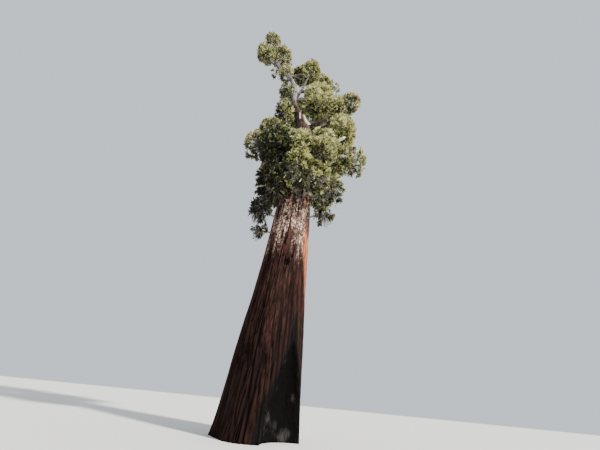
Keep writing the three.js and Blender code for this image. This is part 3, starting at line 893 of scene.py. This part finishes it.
boughRoutes = {}
for bough in boughs:
    boughRoutes[bough[0]] = boughRoute(bough, boughRoutes)


# Dead limbs: height of the foot, rise to the tip, bearing and distance out of both, radii.
deadLimbs = {
    "dead_limb_front": [19.3, 0.9, (-40, 0.55), (-95, 0.8), (0.2, 0.05)],
    "dead_limb_right": [15.5, 0.8, (-24, 0.3), (-24, 3.3), (0.17, 0.1)],
    "dead_limb_spur": [19.9, 0.9, (-115, 0.35), (-112, 0.75), (0.1, 0.03)],
}
deadDetail = {
    "along": 0.5, "lift": 0.2, "seed": 400, "sides": 20, "rows": 36,
    "gnarl": 0.1, "furrows": 7, "furrowDepth": 0.3, "collar": 0.2, "broken": 3.0,
}


def deadRoute(height, lift, foot, tip, radii):
    axis = trunkCentre(height)
    start = axis + bearingVector(foot[0]) * foot[1]
    end = axis + bearingVector(tip[0]) * tip[1]
    end[2] += lift
    bend = start + (end - start) * deadDetail["along"]
    bend[2] = height + lift * deadDetail["lift"]
    return {"curve": (start, bend, end), "radii": radii}


deadRoutes = {name: deadRoute(*sizes) for name, sizes in deadLimbs.items()}


# What boughs and dead limbs share: gnarled, furrowed along the length, swollen at the start.
limbDetail = {
    "stepAhead": 0.01,
    "collarFade": 9,
    "drawnOut": 0.35,  # how far the patterns are drawn out along the limb
    "thinnest": 0.1,  # what they take a thin limb's radius to be
    "seedSteps": (5, 9, 3),  # from the limb's seed to those of its wander, breaks and stains
    "gnarls": (0.9, 0.9, 1.1),
    "wander": ((0.8, 0.8, 0.5), 2.2),
    "grooveEdge": 0.5,
    "breaks": (0.96, (3, 3, 0.1)),  # where a broken end starts, and how fine it is
    "stains": (7, 7, 7),
    "stainEdges": (0.1, 0.7),
}


def makeLimb(name, route, detail, material, seed):
    curve, (base, tip) = route["curve"], route["radii"]
    wanderSeed, breakSeed, stainSeed = (seed + step for step in limbDetail["seedSteps"])
    thick = max(base, limbDetail["thinnest"])

    def place(turns, shares):
        step = limbDetail["stepAhead"]
        ahead = unit(curvePoint(curve, shares + step) - curvePoint(curve, shares - step))
        sideways, above = crossAxes(ahead)
        outward = np.cos(turns)[:, None] * sideways + np.sin(turns)[:, None] * above
        length = lengths(curve[2] - curve[0])
        spots = onCylinder(turns, shares * length / thick * limbDetail["drawnOut"], 1)
        fineness, sway = limbDetail["wander"]
        wander = fieldNoise(spots, fineness, wanderSeed, 2) * sway
        ripple = np.abs(np.sin(detail["furrows"] * turns / 2 + wander))
        groove = 1 - np.minimum(ripple / limbDetail["grooveEdge"], 1)
        radius = base + (tip - base) * shares
        radius = radius * (1 + detail["collar"] * np.exp(-shares * limbDetail["collarFade"]))
        gnarl = detail["gnarl"] * fieldNoise(spots, limbDetail["gnarls"], seed, 2)
        radius = np.where(shares >= 1, 0, radius * (1 + gnarl - detail["furrowDepth"] * groove))
        breaksFrom, fineness = limbDetail["breaks"]
        broken = detail["broken"] * tip * (shares > breaksFrom) * fieldNoise(spots, fineness, breakSeed)
        return curvePoint(curve, shares) + outward * radius[:, None] + ahead * broken[:, None]

    piece = rolledTube(name, detail["sides"], detail["rows"], place)
    points = meshPoints(piece)
    stains = fieldNoise(points - points.mean(axis=0), limbDetail["stains"], stainSeed, 2)
    setMask(piece, "furrow", smoothStep(*limbDetail["stainEdges"], stains))
    piece.data.materials.append(material)
    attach(piece, "root")
    return piece


for k, (name, route) in enumerate(boughRoutes.items()):
    node = "second_leader" if name == "centre_top" else "bough_" + name
    piece = makeLimb(node + "_bark", route, boughDetail, limbMaterial, boughDetail["seed"] + k)
    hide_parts(node)
for k, (name, route) in enumerate(deadRoutes.items()):
    piece = makeLimb(name + "_wood", route, deadDetail, deadMaterial, deadDetail["seed"] + k)
    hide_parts(name)
print("boughs and dead limbs made:", len(boughRoutes) + len(deadRoutes))


# Foliage finishes, each a plain colour, dealt out by spray. The six greens from leafShade to leafPale are
# painted shade and painted light on one foliage, with some tone that differs by chance; bronze and brown
# are the sprays' own colours.
leafColours = {
    "leafShade": (0.021, 0.025, 0.016),
    "leafDeep": (0.050, 0.063, 0.028),
    "leafGreen": (0.124, 0.150, 0.044),
    "leafOlive": (0.240, 0.265, 0.082),
    "leafBright": (0.435, 0.455, 0.155),
    "leafPale": (0.71, 0.69, 0.34),
    "leafBronze": (0.38, 0.275, 0.15),
    "leafBrown": (0.13, 0.092, 0.075),
}
bronzeIndex = list(leafColours).index("leafBronze")
brownIndex = list(leafColours).index("leafBrown")
leafLook = {"roughness": 0.62, "fibre": (40.0, 40.0, 0.0), "relief": 0.004, "twig": (0.25, 0.215, 0.215)}


def makeLeafMaterial(name, colour):
    material, shader = newMaterial(name, leafLook["roughness"])
    tree = material.node_tree
    shader.inputs["Base Color"].default_value = (*colour, 1)
    addBump(tree, shader, placeFibre(tree, *leafLook["fibre"])["Streak"], leafLook["relief"])
    return material


leafMaterials = [makeLeafMaterial(name, colour) for name, colour in leafColours.items()]
twigMaterial = makeLeafMaterial("twigBark", leafLook["twig"])
print("leaf finishes made")


# How sprays keep off the wood: the trunk's stretch that is looked at, points to each limb, the
# room left round both, and how many sprays are tested at once.
clearance = {"heights": (7, 39, 0.2), "trunk": 0.03, "perLimb": 24, "limb": 0.02, "batch": 4000}
# Places that the foliage leaves open, so that the cream dead limbs stand out and one sees past
# the trunk. Across, along, up, radius.
openings = np.array([
    [0.15, -1.1, 19.9, 0.5], [0.3, -1.45, 18.9, 0.45], [0.75, -0.95, 19.2, 0.5],
    [3.1, -1.5, 15.9, 0.55], [2.95, -1.95, 15.2, 0.5], [2.6, -1.5, 15.5, 0.4],
])


def limbSamples():
    heights = np.arange(*clearance["heights"])
    points, radii = [trunkCentre(heights)], [stationValue(heights, 3) + clearance["trunk"]]
    for route in [*boughRoutes.values(), *deadRoutes.values()]:
        base, tip = route["radii"]
        shares = np.linspace(0, 1, clearance["perLimb"])
        points.append(curvePoint(route["curve"], shares))
        radii.append(base + (tip - base) * shares + clearance["limb"])
    return np.concatenate(points), np.concatenate(radii)


limbPoints, limbRadii = limbSamples()


def touchesLimb(points):
    near = np.zeros(len(points), bool)
    batch = clearance["batch"]
    for start in range(0, len(points), batch):
        part = points[start:start + batch]
        near[start:start + batch] = (gapsBetween(part, limbPoints) - limbRadii).min(axis=1) < 0
    return near


def inOpening(points):
    return (gapsBetween(points, openings[:, :3]) < openings[:, 3]).any(axis=1)


def openShare(k):
    return clumps[k][8]


def clumpArea(k):
    across, along, tall = halves[k]
    return 4 * math.pi * (across * along * tall) ** (2 / 3)


def shareOut(points, k):
    return lengths((points - middles[k]) / halves[k])


# If points are in a clump's own space and no deeper in another's, and how far out they are.
def inOwnSpace(points, k, slack):
    shares = spaceShares(points)
    own = shares[:, k].copy()
    shares[:, k] = np.inf
    return shares.min(axis=1) > own - slack, own


# Directions spread evenly all round by the golden angle, and turned by chance.
def evenDirections(count, rng):
    k = np.arange(count)
    up = 1 - 2 * (k + 0.5) / count
    flat = np.sqrt(1 - up * up)
    angle = rng.uniform(0, 2 * math.pi) + k * math.pi * (3 - math.sqrt(5))
    return np.stack([flat * np.cos(angle), flat * np.sin(angle), up], -1)


# A size's scale: the least, more for each metre, and the most.
def scaled(scale, size):
    least, more, most = scale
    return np.minimum(most, least + more * size)


# How light things are painted: by chance, and as painted light by how they face the key.
def lightOf(name, ways, rng):
    chance, facing = growth[name]
    return rng.normal(0, chance, len(ways)) + facing * ways @ towardsKey


def picked(arrays, mask):
    return {name: values[mask] for name, values in arrays.items()}


# How a clump grows: a stem, branches to lobes near its surface, twigs to tufts on the outer
# side of each lobe, and sprays round each tuft. Sizes are in metres, reaches are shares of the
# way from the clump's middle to its edge.
growth = {
    "seed": 2711,
    "lobeSpread": 0.80,  # square metres of a clump's surface to each lobe
    "fewestLobes": 5,
    "lobeScatter": 0.16,
    "lobeReach": (0.68, 1.0),  # how far out a lobe's outer side comes
    "lobeRadius": (0.34, 0.56),
    "lobeScale": (0.35, 0.55, 1.1),  # for a clump of no width, more for each metre, and at most
    "lobeTall": 1.3,
    "lobeSlack": 0.12,
    "lobeLight": (0.07, 0.08),  # by chance, and by how it faces the key
    "moreOpen": (-0.2, 0.6),  # lobes that face lower than this are left out more often
    "lowestFacing": -0.45,
    "tuftSpread": 0.135,  # square metres of a lobe's surface to each tuft
    "fewestTufts": 6,
    "tuftSide": (-0.75, 0.15),  # how far round to its back a lobe has tufts
    "tuftOut": (0.5, 1.0),
    "tuftRadius": (0.16, 0.36),
    "tuftScale": (0.5, 1.0, 1.1),
    "tuftReach": 0.93,
    "tuftLight": (0.14, 0.15),
    "innerSpread": 0.75,  # square metres of a clump's surface to each inner tuft
    "fewestInner": 4,
    "innerReach": (0.25, 0.62),
    "innerSlack": 0.05,
    "innerRadius": 0.36,
    "innerLight": -0.3,
    "hangsBelow": 12.8,
    "strands": 36,  # to each metre of a clump's half width
    "strandScatter": 0.2,
    "strandLength": (0.5, 1.5),
    "strandSway": 0.12,
    "strandLight": (0.12, 0),
    "beadStep": 0.15,
    "beadRadius": 0.15,
    "beadTaper": 1.25,
    "beadReach": 0.96,
    "beadWay": (0.3, 0.6),  # how much of its way is up or down by chance, and down in any case
    "facing": (0.6, 0.5),  # how much sprays face as their tuft does, and as its lobe does
}


# Lobes of one clump: where, how wide, which way each faces out of the clump, and how light.
def placeLobes(k, rng):
    half = halves[k]
    count = max(int(clumpArea(k) / growth["lobeSpread"]), growth["fewestLobes"])
    ways = unit(evenDirections(count, rng) + rng.normal(0, growth["lobeScatter"], (count, 3)))
    radii = rng.uniform(*growth["lobeRadius"], count) * scaled(growth["lobeScale"], half[0])
    out = rng.uniform(*growth["lobeReach"], count) - radii / lengths(ways * half)
    centres = middles[k] + ways * half * out[:, None]
    keep = inOwnSpace(centres, k, growth["lobeSlack"])[0]
    low, more = growth["moreOpen"]
    keep &= rng.uniform(0, 1, count) > openShare(k) * (1 + more * (ways[:, 2] < low))
    if middles[k][2] < growth["hangsBelow"]:
        keep &= ways[:, 2] > growth["lowestFacing"]
    lobes = picked({"at": centres, "radius": radii, "way": unit(ways / half)}, keep)
    lobes["light"] = lightOf("lobeLight", lobes["way"], rng)
    return lobes


# Tufts on the outer side of each lobe. Each knows its lobe's number.
def placeTufts(k, rng, lobes):
    number = (4 * math.pi * lobes["radius"] ** 2 / growth["tuftSpread"]).astype(int)
    lobe = np.repeat(np.arange(len(number)), np.maximum(number, growth["fewestTufts"]))
    ways = unit(rng.normal(0, 1, (len(lobe), 3)))
    outer = (ways * lobes["way"][lobe]).sum(axis=1) > rng.uniform(*growth["tuftSide"], len(lobe))
    lobe, ways = lobe[outer], ways[outer]
    out = lobes["radius"][lobe] * rng.uniform(*growth["tuftOut"], len(lobe))
    centres = lobes["at"][lobe] + ways * np.array([1, 1, growth["lobeTall"]]) * out[:, None]
    radii = rng.uniform(*growth["tuftRadius"], len(lobe))
    radii *= scaled(growth["tuftScale"], lobes["radius"][lobe])
    keep = (shareOut(centres, k) < growth["tuftReach"]) & ~touchesLimb(centres) & ~inOpening(centres)
    tufts = picked({"at": centres, "radius": radii, "lobe": lobe, "way": ways}, keep)
    tufts["light"] = lobes["light"][tufts["lobe"]] + lightOf("tuftLight", tufts["way"], rng)
    return tufts


# Low clumps hang down in strands, which are strings of ever smaller tufts.
def placeStrands(k, rng, lobes):
    count = int(growth["strands"] * halves[k][0])
    hooks = rng.integers(0, len(lobes["at"]), count)
    tops = lobes["at"][hooks] + rng.normal(0, growth["strandScatter"], (count, 3)) * [1, 1, 0]
    beads = int(growth["strandLength"][1] / growth["beadStep"])
    drop = np.arange(beads)[None, :] * growth["beadStep"]
    length = rng.uniform(*growth["strandLength"], (count, 1))
    sway = rng.normal(0, growth["strandSway"], (count, 1, 3)) * drop[:, :, None]
    centres = tops[:, None] - drop[:, :, None] * [0, 0, 1] + sway * [1, 1, 0]
    radii = growth["beadRadius"] * (growth["beadTaper"] - drop / length)
    shown = (drop < length) & (shareOut(centres, k) < growth["beadReach"])
    strands = picked({"at": centres, "radius": radii, "lobe": np.repeat(hooks[:, None], beads, 1)}, shown)
    strands = picked(strands, ~touchesLimb(strands["at"]))
    chance, down = growth["beadWay"]
    strands["way"] = unit(rng.normal(0, 1, strands["at"].shape) * [1, 1, chance] - [0, 0, down])
    strands["light"] = lobes["light"][strands["lobe"]] + lightOf("strandLight", strands["way"], rng)
    return strands


# Tufts that fill the middle, painted dark as the shade inside the clump.
def placeInner(k, rng):
    count = int(clumpArea(k) / growth["innerSpread"] * (1 - openShare(k)))
    ways = evenDirections(max(count, growth["fewestInner"]), rng)
    centres = middles[k] + ways * halves[k] * rng.uniform(*growth["innerReach"], (len(ways), 1))
    free = inOwnSpace(centres, k, growth["innerSlack"])[0] & ~touchesLimb(centres)
    number = free.sum()
    return {
        "at": centres[free],
        "radius": np.full(number, growth["innerRadius"]),
        "facing": ways[free],
        "light": np.full(number, growth["innerLight"]),
    }


# Sprays. The outline is toothed, root to tip and back: shares of the length, of the width, and
# of the height of the rib.
spray = {
    "outline": np.array([
        [0, 0, 0], [0.38, 0.5, 0], [0.55, 0.26, 1], [0.8, 0.34, 0],
        [1, -0.04, 0.3], [0.6, -0.24, 1], [0.42, -0.5, 0],
    ]),
    "width": 0.42,
    "rib": 0.08,
    "perTuft": 19,
    "forRadius": 0.26,  # the tuft that has so many
    "radiusPower": 1.5,
    "fewest": 4,
    "fullness": 1.15,
    "backFrom": 1.0,  # clumps with their middle past this Y have fewer
    "backShare": 0.66,
    "root": 0.25,
    "tip": (0.75, 1.4),
    "scatter": 0.85,
    "twist": 0.5,
    "droopsBelow": 12,
    "droop": -0.7,
    "rise": 0.1,
    "reach": 0.995,
    "dips": (2.3, 0.26),  # how fine the dips in a clump's outline are, and how deep
    "dipSeed": 500,
    "cutFrom": 1.12,  # tips further out than this are left out, others drawn in
    "slack": 0.1,
    "outsideBox": 0.02,
}


# Sprays as arrays: each is a fan of five faces from its root, folded where its teeth meet.
def sprayArrays(roots, tips, facing):
    outline = spray["outline"]
    along = tips - roots
    length = lengths(along)[:, None]
    across = unit(np.cross(along, facing)) * length * spray["width"]
    lift = unit(np.cross(across, along)) * length * spray["rib"]
    points = (
        roots[:, None] + along[:, None] * outline[None, :, :1]
        + across[:, None] * outline[None, :, 1:2] + lift[:, None] * outline[None, :, 2:]
    )
    fan = np.array([[0, k, k + 1] for k in range(1, len(outline) - 1)])
    corners = fan[None] + (np.arange(len(roots)) * len(outline))[:, None, None]
    return points.reshape(-1, 3), corners.reshape(-1, 3)


# What makes a spray light or dark, as painted light and painted shade, and the steps between the six
# greens.
leafLight = {
    "steps": [0.14, 0.27, 0.42, 0.58, 0.78],
    "paintedSun": 0.8,
    # Painted light: sprays further out in a clump are lighter.
    "outer": (0.12, 0.5, 1.0),
    "facing": 0.14,
    "chance": (0.20, 0.15),  # in the darkest clump, and more in the brightest
    # Painted shade on the left of the low crown.
    "shade": (0.42, 0.15, -0.35),  # low clumps darken by this between two X values
    "shadeBelow": 15.0,
    "bronzeFrom": 0.7,
    "brownFrom": 0.94,
}


# The colour of each spray, as painted light and shade: by its tuft, its clump's painted sun, how far out it
# is and how it faces the key, with bronze tips and a few brown sprays among the rest.
def dealColours(k, rng, light, roots, heading, own):
    paintedSun, bronze = clumps[k][6:8]
    most, inner, outer = leafLight["outer"]
    light = light + leafLight["paintedSun"] * paintedSun + most * smoothStep(inner, outer, own)
    if middles[k][2] < leafLight["shadeBelow"]:
        loss, lit, dark = leafLight["shade"]
        light -= loss * smoothStep(lit, dark, roots[:, 0])
    least, more = leafLight["chance"]
    light += leafLight["facing"] * heading @ towardsKey + rng.normal(0, least + more * paintedSun, len(roots))
    shade = np.digitize(light, leafLight["steps"])
    roll = rng.uniform(0, 1, len(roots))
    shade = np.where((roll < bronze) & (own > leafLight["bronzeFrom"]), bronzeIndex, shade)
    return np.where(roll > leafLight["brownFrom"], brownIndex, shade)


# Sprays round tufts, kept within the clump's space and off the limbs. Returns their mesh and
# the colour of each face.
def growSprays(k, rng, tufts):
    middle = middles[k]
    wanted = spray["perTuft"] * (spray["fullness"] - openShare(k))
    wanted *= spray["backShare"] if middle[1] > spray["backFrom"] else 1
    number = (wanted * (tufts["radius"] / spray["forRadius"]) ** spray["radiusPower"]).astype(int)
    which = np.repeat(np.arange(len(number)), np.maximum(number, spray["fewest"]))
    centres, radii, facing = tufts["at"][which], tufts["radius"][which], tufts["facing"][which]
    lift = np.array([0, 0, spray["droop"] if middle[2] < spray["droopsBelow"] else spray["rise"]])
    heading = unit(facing + spray["scatter"] * unit(rng.normal(0, 1, facing.shape)) + lift)
    roots = centres + heading * (radii * spray["root"])[:, None]
    tips = centres + heading * (radii * rng.uniform(*spray["tip"], len(which)))[:, None]
    tipShare = shareOut(tips, k)
    fineness, dip = spray["dips"]
    dips = np.clip(fieldNoise(tips, fineness, spray["dipSeed"] + k, 2) * 2, 0, 1)
    limit = spray["reach"] - dip * dips
    tips = middle + (tips - middle) * np.minimum(1, limit / tipShare)[:, None]
    keep, own = inOwnSpace(tips, k, spray["slack"])
    keep &= (tipShare <= limit * spray["cutFrom"]) & ~inOpening(tips)
    keep &= ~touchesLimb(tips) & ~touchesLimb(roots)
    low, high = np.array(cadBox[0]) - spray["outsideBox"], np.array(cadBox[1]) + spray["outsideBox"]
    keep &= (tips > low).all(axis=1) & (tips < high).all(axis=1)
    roots, tips, facing, heading, own = (values[keep] for values in (roots, tips, facing, heading, own))
    arrays = sprayArrays(roots, tips, unit(facing + rng.normal(0, spray["twist"], facing.shape)))
    colours = dealColours(k, rng, tufts["light"][which][keep], roots, heading, own)
    return arrays, np.repeat(colours, len(spray["outline"]) - 2)


# Wood in the clumps: radii are at the start and at the end of each kind.
wood = {
    "stemRadius": 0.07,
    "stemTaper": 0.4,
    "stemLow": 0.4,
    "stemSearch": (4, 0.1),  # how far up and down the trunk a stem's start is sought
    "branchStart": (0.3, 1),
    "branchRadii": (0.55, 0.022),  # the first as a share of the stem's
    "branchStray": 0.07,
    "branchSag": 0.08,
    "twigRadii": (0.014, 0.007),
    "deadRadii": (0.045, 0.012),
    "deadScatter": 0.4,
    "deadReach": (0.8, 0.93),
    "deadFrom": 0.35,
    "deadStray": 0.12,
}


# Tubes along curved lines, as arrays: starts, bends and ends are rows of points.
def tubeArrays(starts, bends, ends, radii, sides, steps):
    count = len(starts)
    shares = np.linspace(0, 1, steps + 1)
    u = shares[None, :, None]
    line = starts[:, None] * (1 - u) ** 2 + bends[:, None] * 2 * u * (1 - u) + ends[:, None] * u * u
    sideways, above = crossAxes(unit(ends - starts))
    turns = (np.arange(sides) * 2 * math.pi / sides)[None, :, None]
    ring = np.cos(turns) * sideways[:, None] + np.sin(turns) * above[:, None]
    radius = radii[0] + (radii[1] - radii[0]) * shares
    points = line[:, :, None, :] + ring[:, None, :, :] * radius[None, :, None, None]
    corners = []
    for step in range(steps):
        for side in range(sides):
            a, b = step * sides + side, step * sides + (side + 1) % sides
            corners += [[a, b, b + sides], [a, b + sides, a + sides]]
    last = steps * sides
    corners += [[last, last + side, last + side + 1] for side in range(1, sides - 1)]
    corners += [[0, side + 1, side] for side in range(1, sides - 1)]
    corners = np.array(corners)[None] + (np.arange(count) * (steps + 1) * sides)[:, None, None]
    return points.reshape(-1, 3), corners.reshape(-1, 3)


def joinArrays(parts):
    points, corners = zip(*parts)
    offsets = np.cumsum([0] + [len(part) for part in points[:-1]])
    return np.concatenate(points), np.concatenate([part + offset for part, offset in zip(corners, offsets)])


# Where a clump's stem starts: at its bough's tip, or else on the trunk near it.
def stemLine(k):
    name = clumps[k][0]
    if name in boughRoutes:
        route = boughRoutes[name]
        return route["curve"][2], route["radii"][1]
    low = middles[k] - np.array([0, 0, wood["stemLow"] * halves[k][2]])
    far, step = wood["stemSearch"]
    centres = trunkCentre(np.arange(low[2] - far, low[2] + far, step))
    return centres[np.argmin(lengths(centres - low))], wood["stemRadius"]


def nearestOf(points, choices):
    return choices[np.argmin(gapsBetween(points, choices), axis=1)]


# Stem, a branch to each lobe, a twig to each tuft, and a few dead twigs that stand out. Returns
# the live wood and the dead.
def growTwigs(k, rng, lobes, tufts):
    middle, half = middles[k], halves[k]
    start, thick = stemLine(k)
    starts = start + (middle - start) * rng.uniform(*wood["branchStart"], (len(lobes), 1))
    stray = rng.normal(0, wood["branchStray"], lobes.shape)
    bends = (starts + lobes) / 2 + stray - [0, 0, wood["branchSag"]]
    hubs = nearestOf(tufts, np.concatenate([lobes, (bends + lobes) / 2]))
    share, thin = wood["branchRadii"]
    stemRadii = (thick, thick * (1 - wood["stemTaper"]))
    live = joinArrays([
        tubeArrays(start[None], ((start + middle) / 2)[None], middle[None], stemRadii, sides=8, steps=4),
        tubeArrays(starts, bends, lobes, (thick * share, thin), sides=5, steps=4),
        tubeArrays(hubs, (hubs + tufts) / 2, tufts, wood["twigRadii"], sides=3, steps=1),
    ])
    count = 1 + int(half[0])
    ways = unit(evenDirections(count, rng) + rng.normal(0, wood["deadScatter"], (count, 3)))
    ways[:, 1] = -np.abs(ways[:, 1])
    ends = middle + ways * half * rng.uniform(*wood["deadReach"], (count, 1))
    starts = middle + (ends - middle) * wood["deadFrom"]
    bends = (starts + ends) / 2 + rng.normal(0, wood["deadStray"], (count, 3))
    free = (spaceShares(ends).argmin(axis=1) == k) & ~touchesLimb(ends) & ~touchesLimb(bends)
    starts, bends, ends = starts[free], bends[free], ends[free]
    return live, tubeArrays(starts, bends, ends, wood["deadRadii"], sides=5, steps=4)


def growClump(k):
    rng = np.random.default_rng(growth["seed"] + k)
    lobes = placeLobes(k, rng)
    tufts = placeTufts(k, rng, lobes)
    if middles[k][2] < growth["hangsBelow"]:
        strands = placeStrands(k, rng, lobes)
        tufts = {name: np.concatenate([tufts[name], strands[name]]) for name in tufts}
    inner = placeInner(k, rng)
    own, lobe = growth["facing"]
    tufts["facing"] = own * tufts["way"] + lobe * lobes["way"][tufts["lobe"]]
    leafy = {name: np.concatenate([tufts[name], inner[name]]) for name in inner}
    leafy["facing"] = unit(leafy["facing"])
    sprays, colours = growSprays(k, rng, leafy)
    return sprays, colours, *growTwigs(k, rng, lobes["at"], tufts["at"])


def pieceFromArrays(name, arrays, materials, colours=None):
    points, corners = arrays
    mesh = bpy.data.meshes.new(name)
    mesh.vertices.add(len(points))
    mesh.vertices.foreach_set("co", points.astype(np.float32).ravel())
    mesh.loops.add(corners.size)
    mesh.loops.foreach_set("vertex_index", corners.astype(np.int32).ravel())
    mesh.polygons.add(len(corners))
    mesh.polygons.foreach_set("loop_start", np.arange(0, corners.size, 3, dtype=np.int32))
    for material in materials:
        mesh.materials.append(material)
    if colours is not None:
        mesh.polygons.foreach_set("material_index", colours.astype(np.int32))
    mesh.update(calc_edges=True)
    piece = addObject(name, mesh)
    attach(piece, "root")
    return piece


# Clumps are joined by region, so that no piece grows too heavy.
regions = {
    "leader": (0, 6),
    "summit": (6, 10),
    "upper": (10, 14),
    "middleLeft": (14, 17),
    "middleRight": (17, 20),
    "front": (20, 25),
    "low": (25, 32),
    "backLow": (32, 36),
    "backHigh": (36, 40),
}
total = 0
for region, (first, last) in regions.items():
    sprays, colours, live, dead = zip(*[growClump(k) for k in range(first, last)])
    leaves = pieceFromArrays(region + "Sprays", joinArrays(sprays), leafMaterials, np.concatenate(colours))
    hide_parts(*["foliage_" + clumps[k][0] for k in range(first, last)])
    twigs = pieceFromArrays(region + "Twigs", joinArrays(live), [twigMaterial])
    deadTwigs = pieceFromArrays(region + "DeadTwigs", joinArrays(dead), [deadMaterial])
    leafFaces, twigFaces = len(leaves.data.polygons), len(twigs.data.polygons)
    total += leafFaces + twigFaces
    print("grown:", region, leafFaces, "leaf faces,", twigFaces, "twig faces")
print("foliage faces in all:", total)
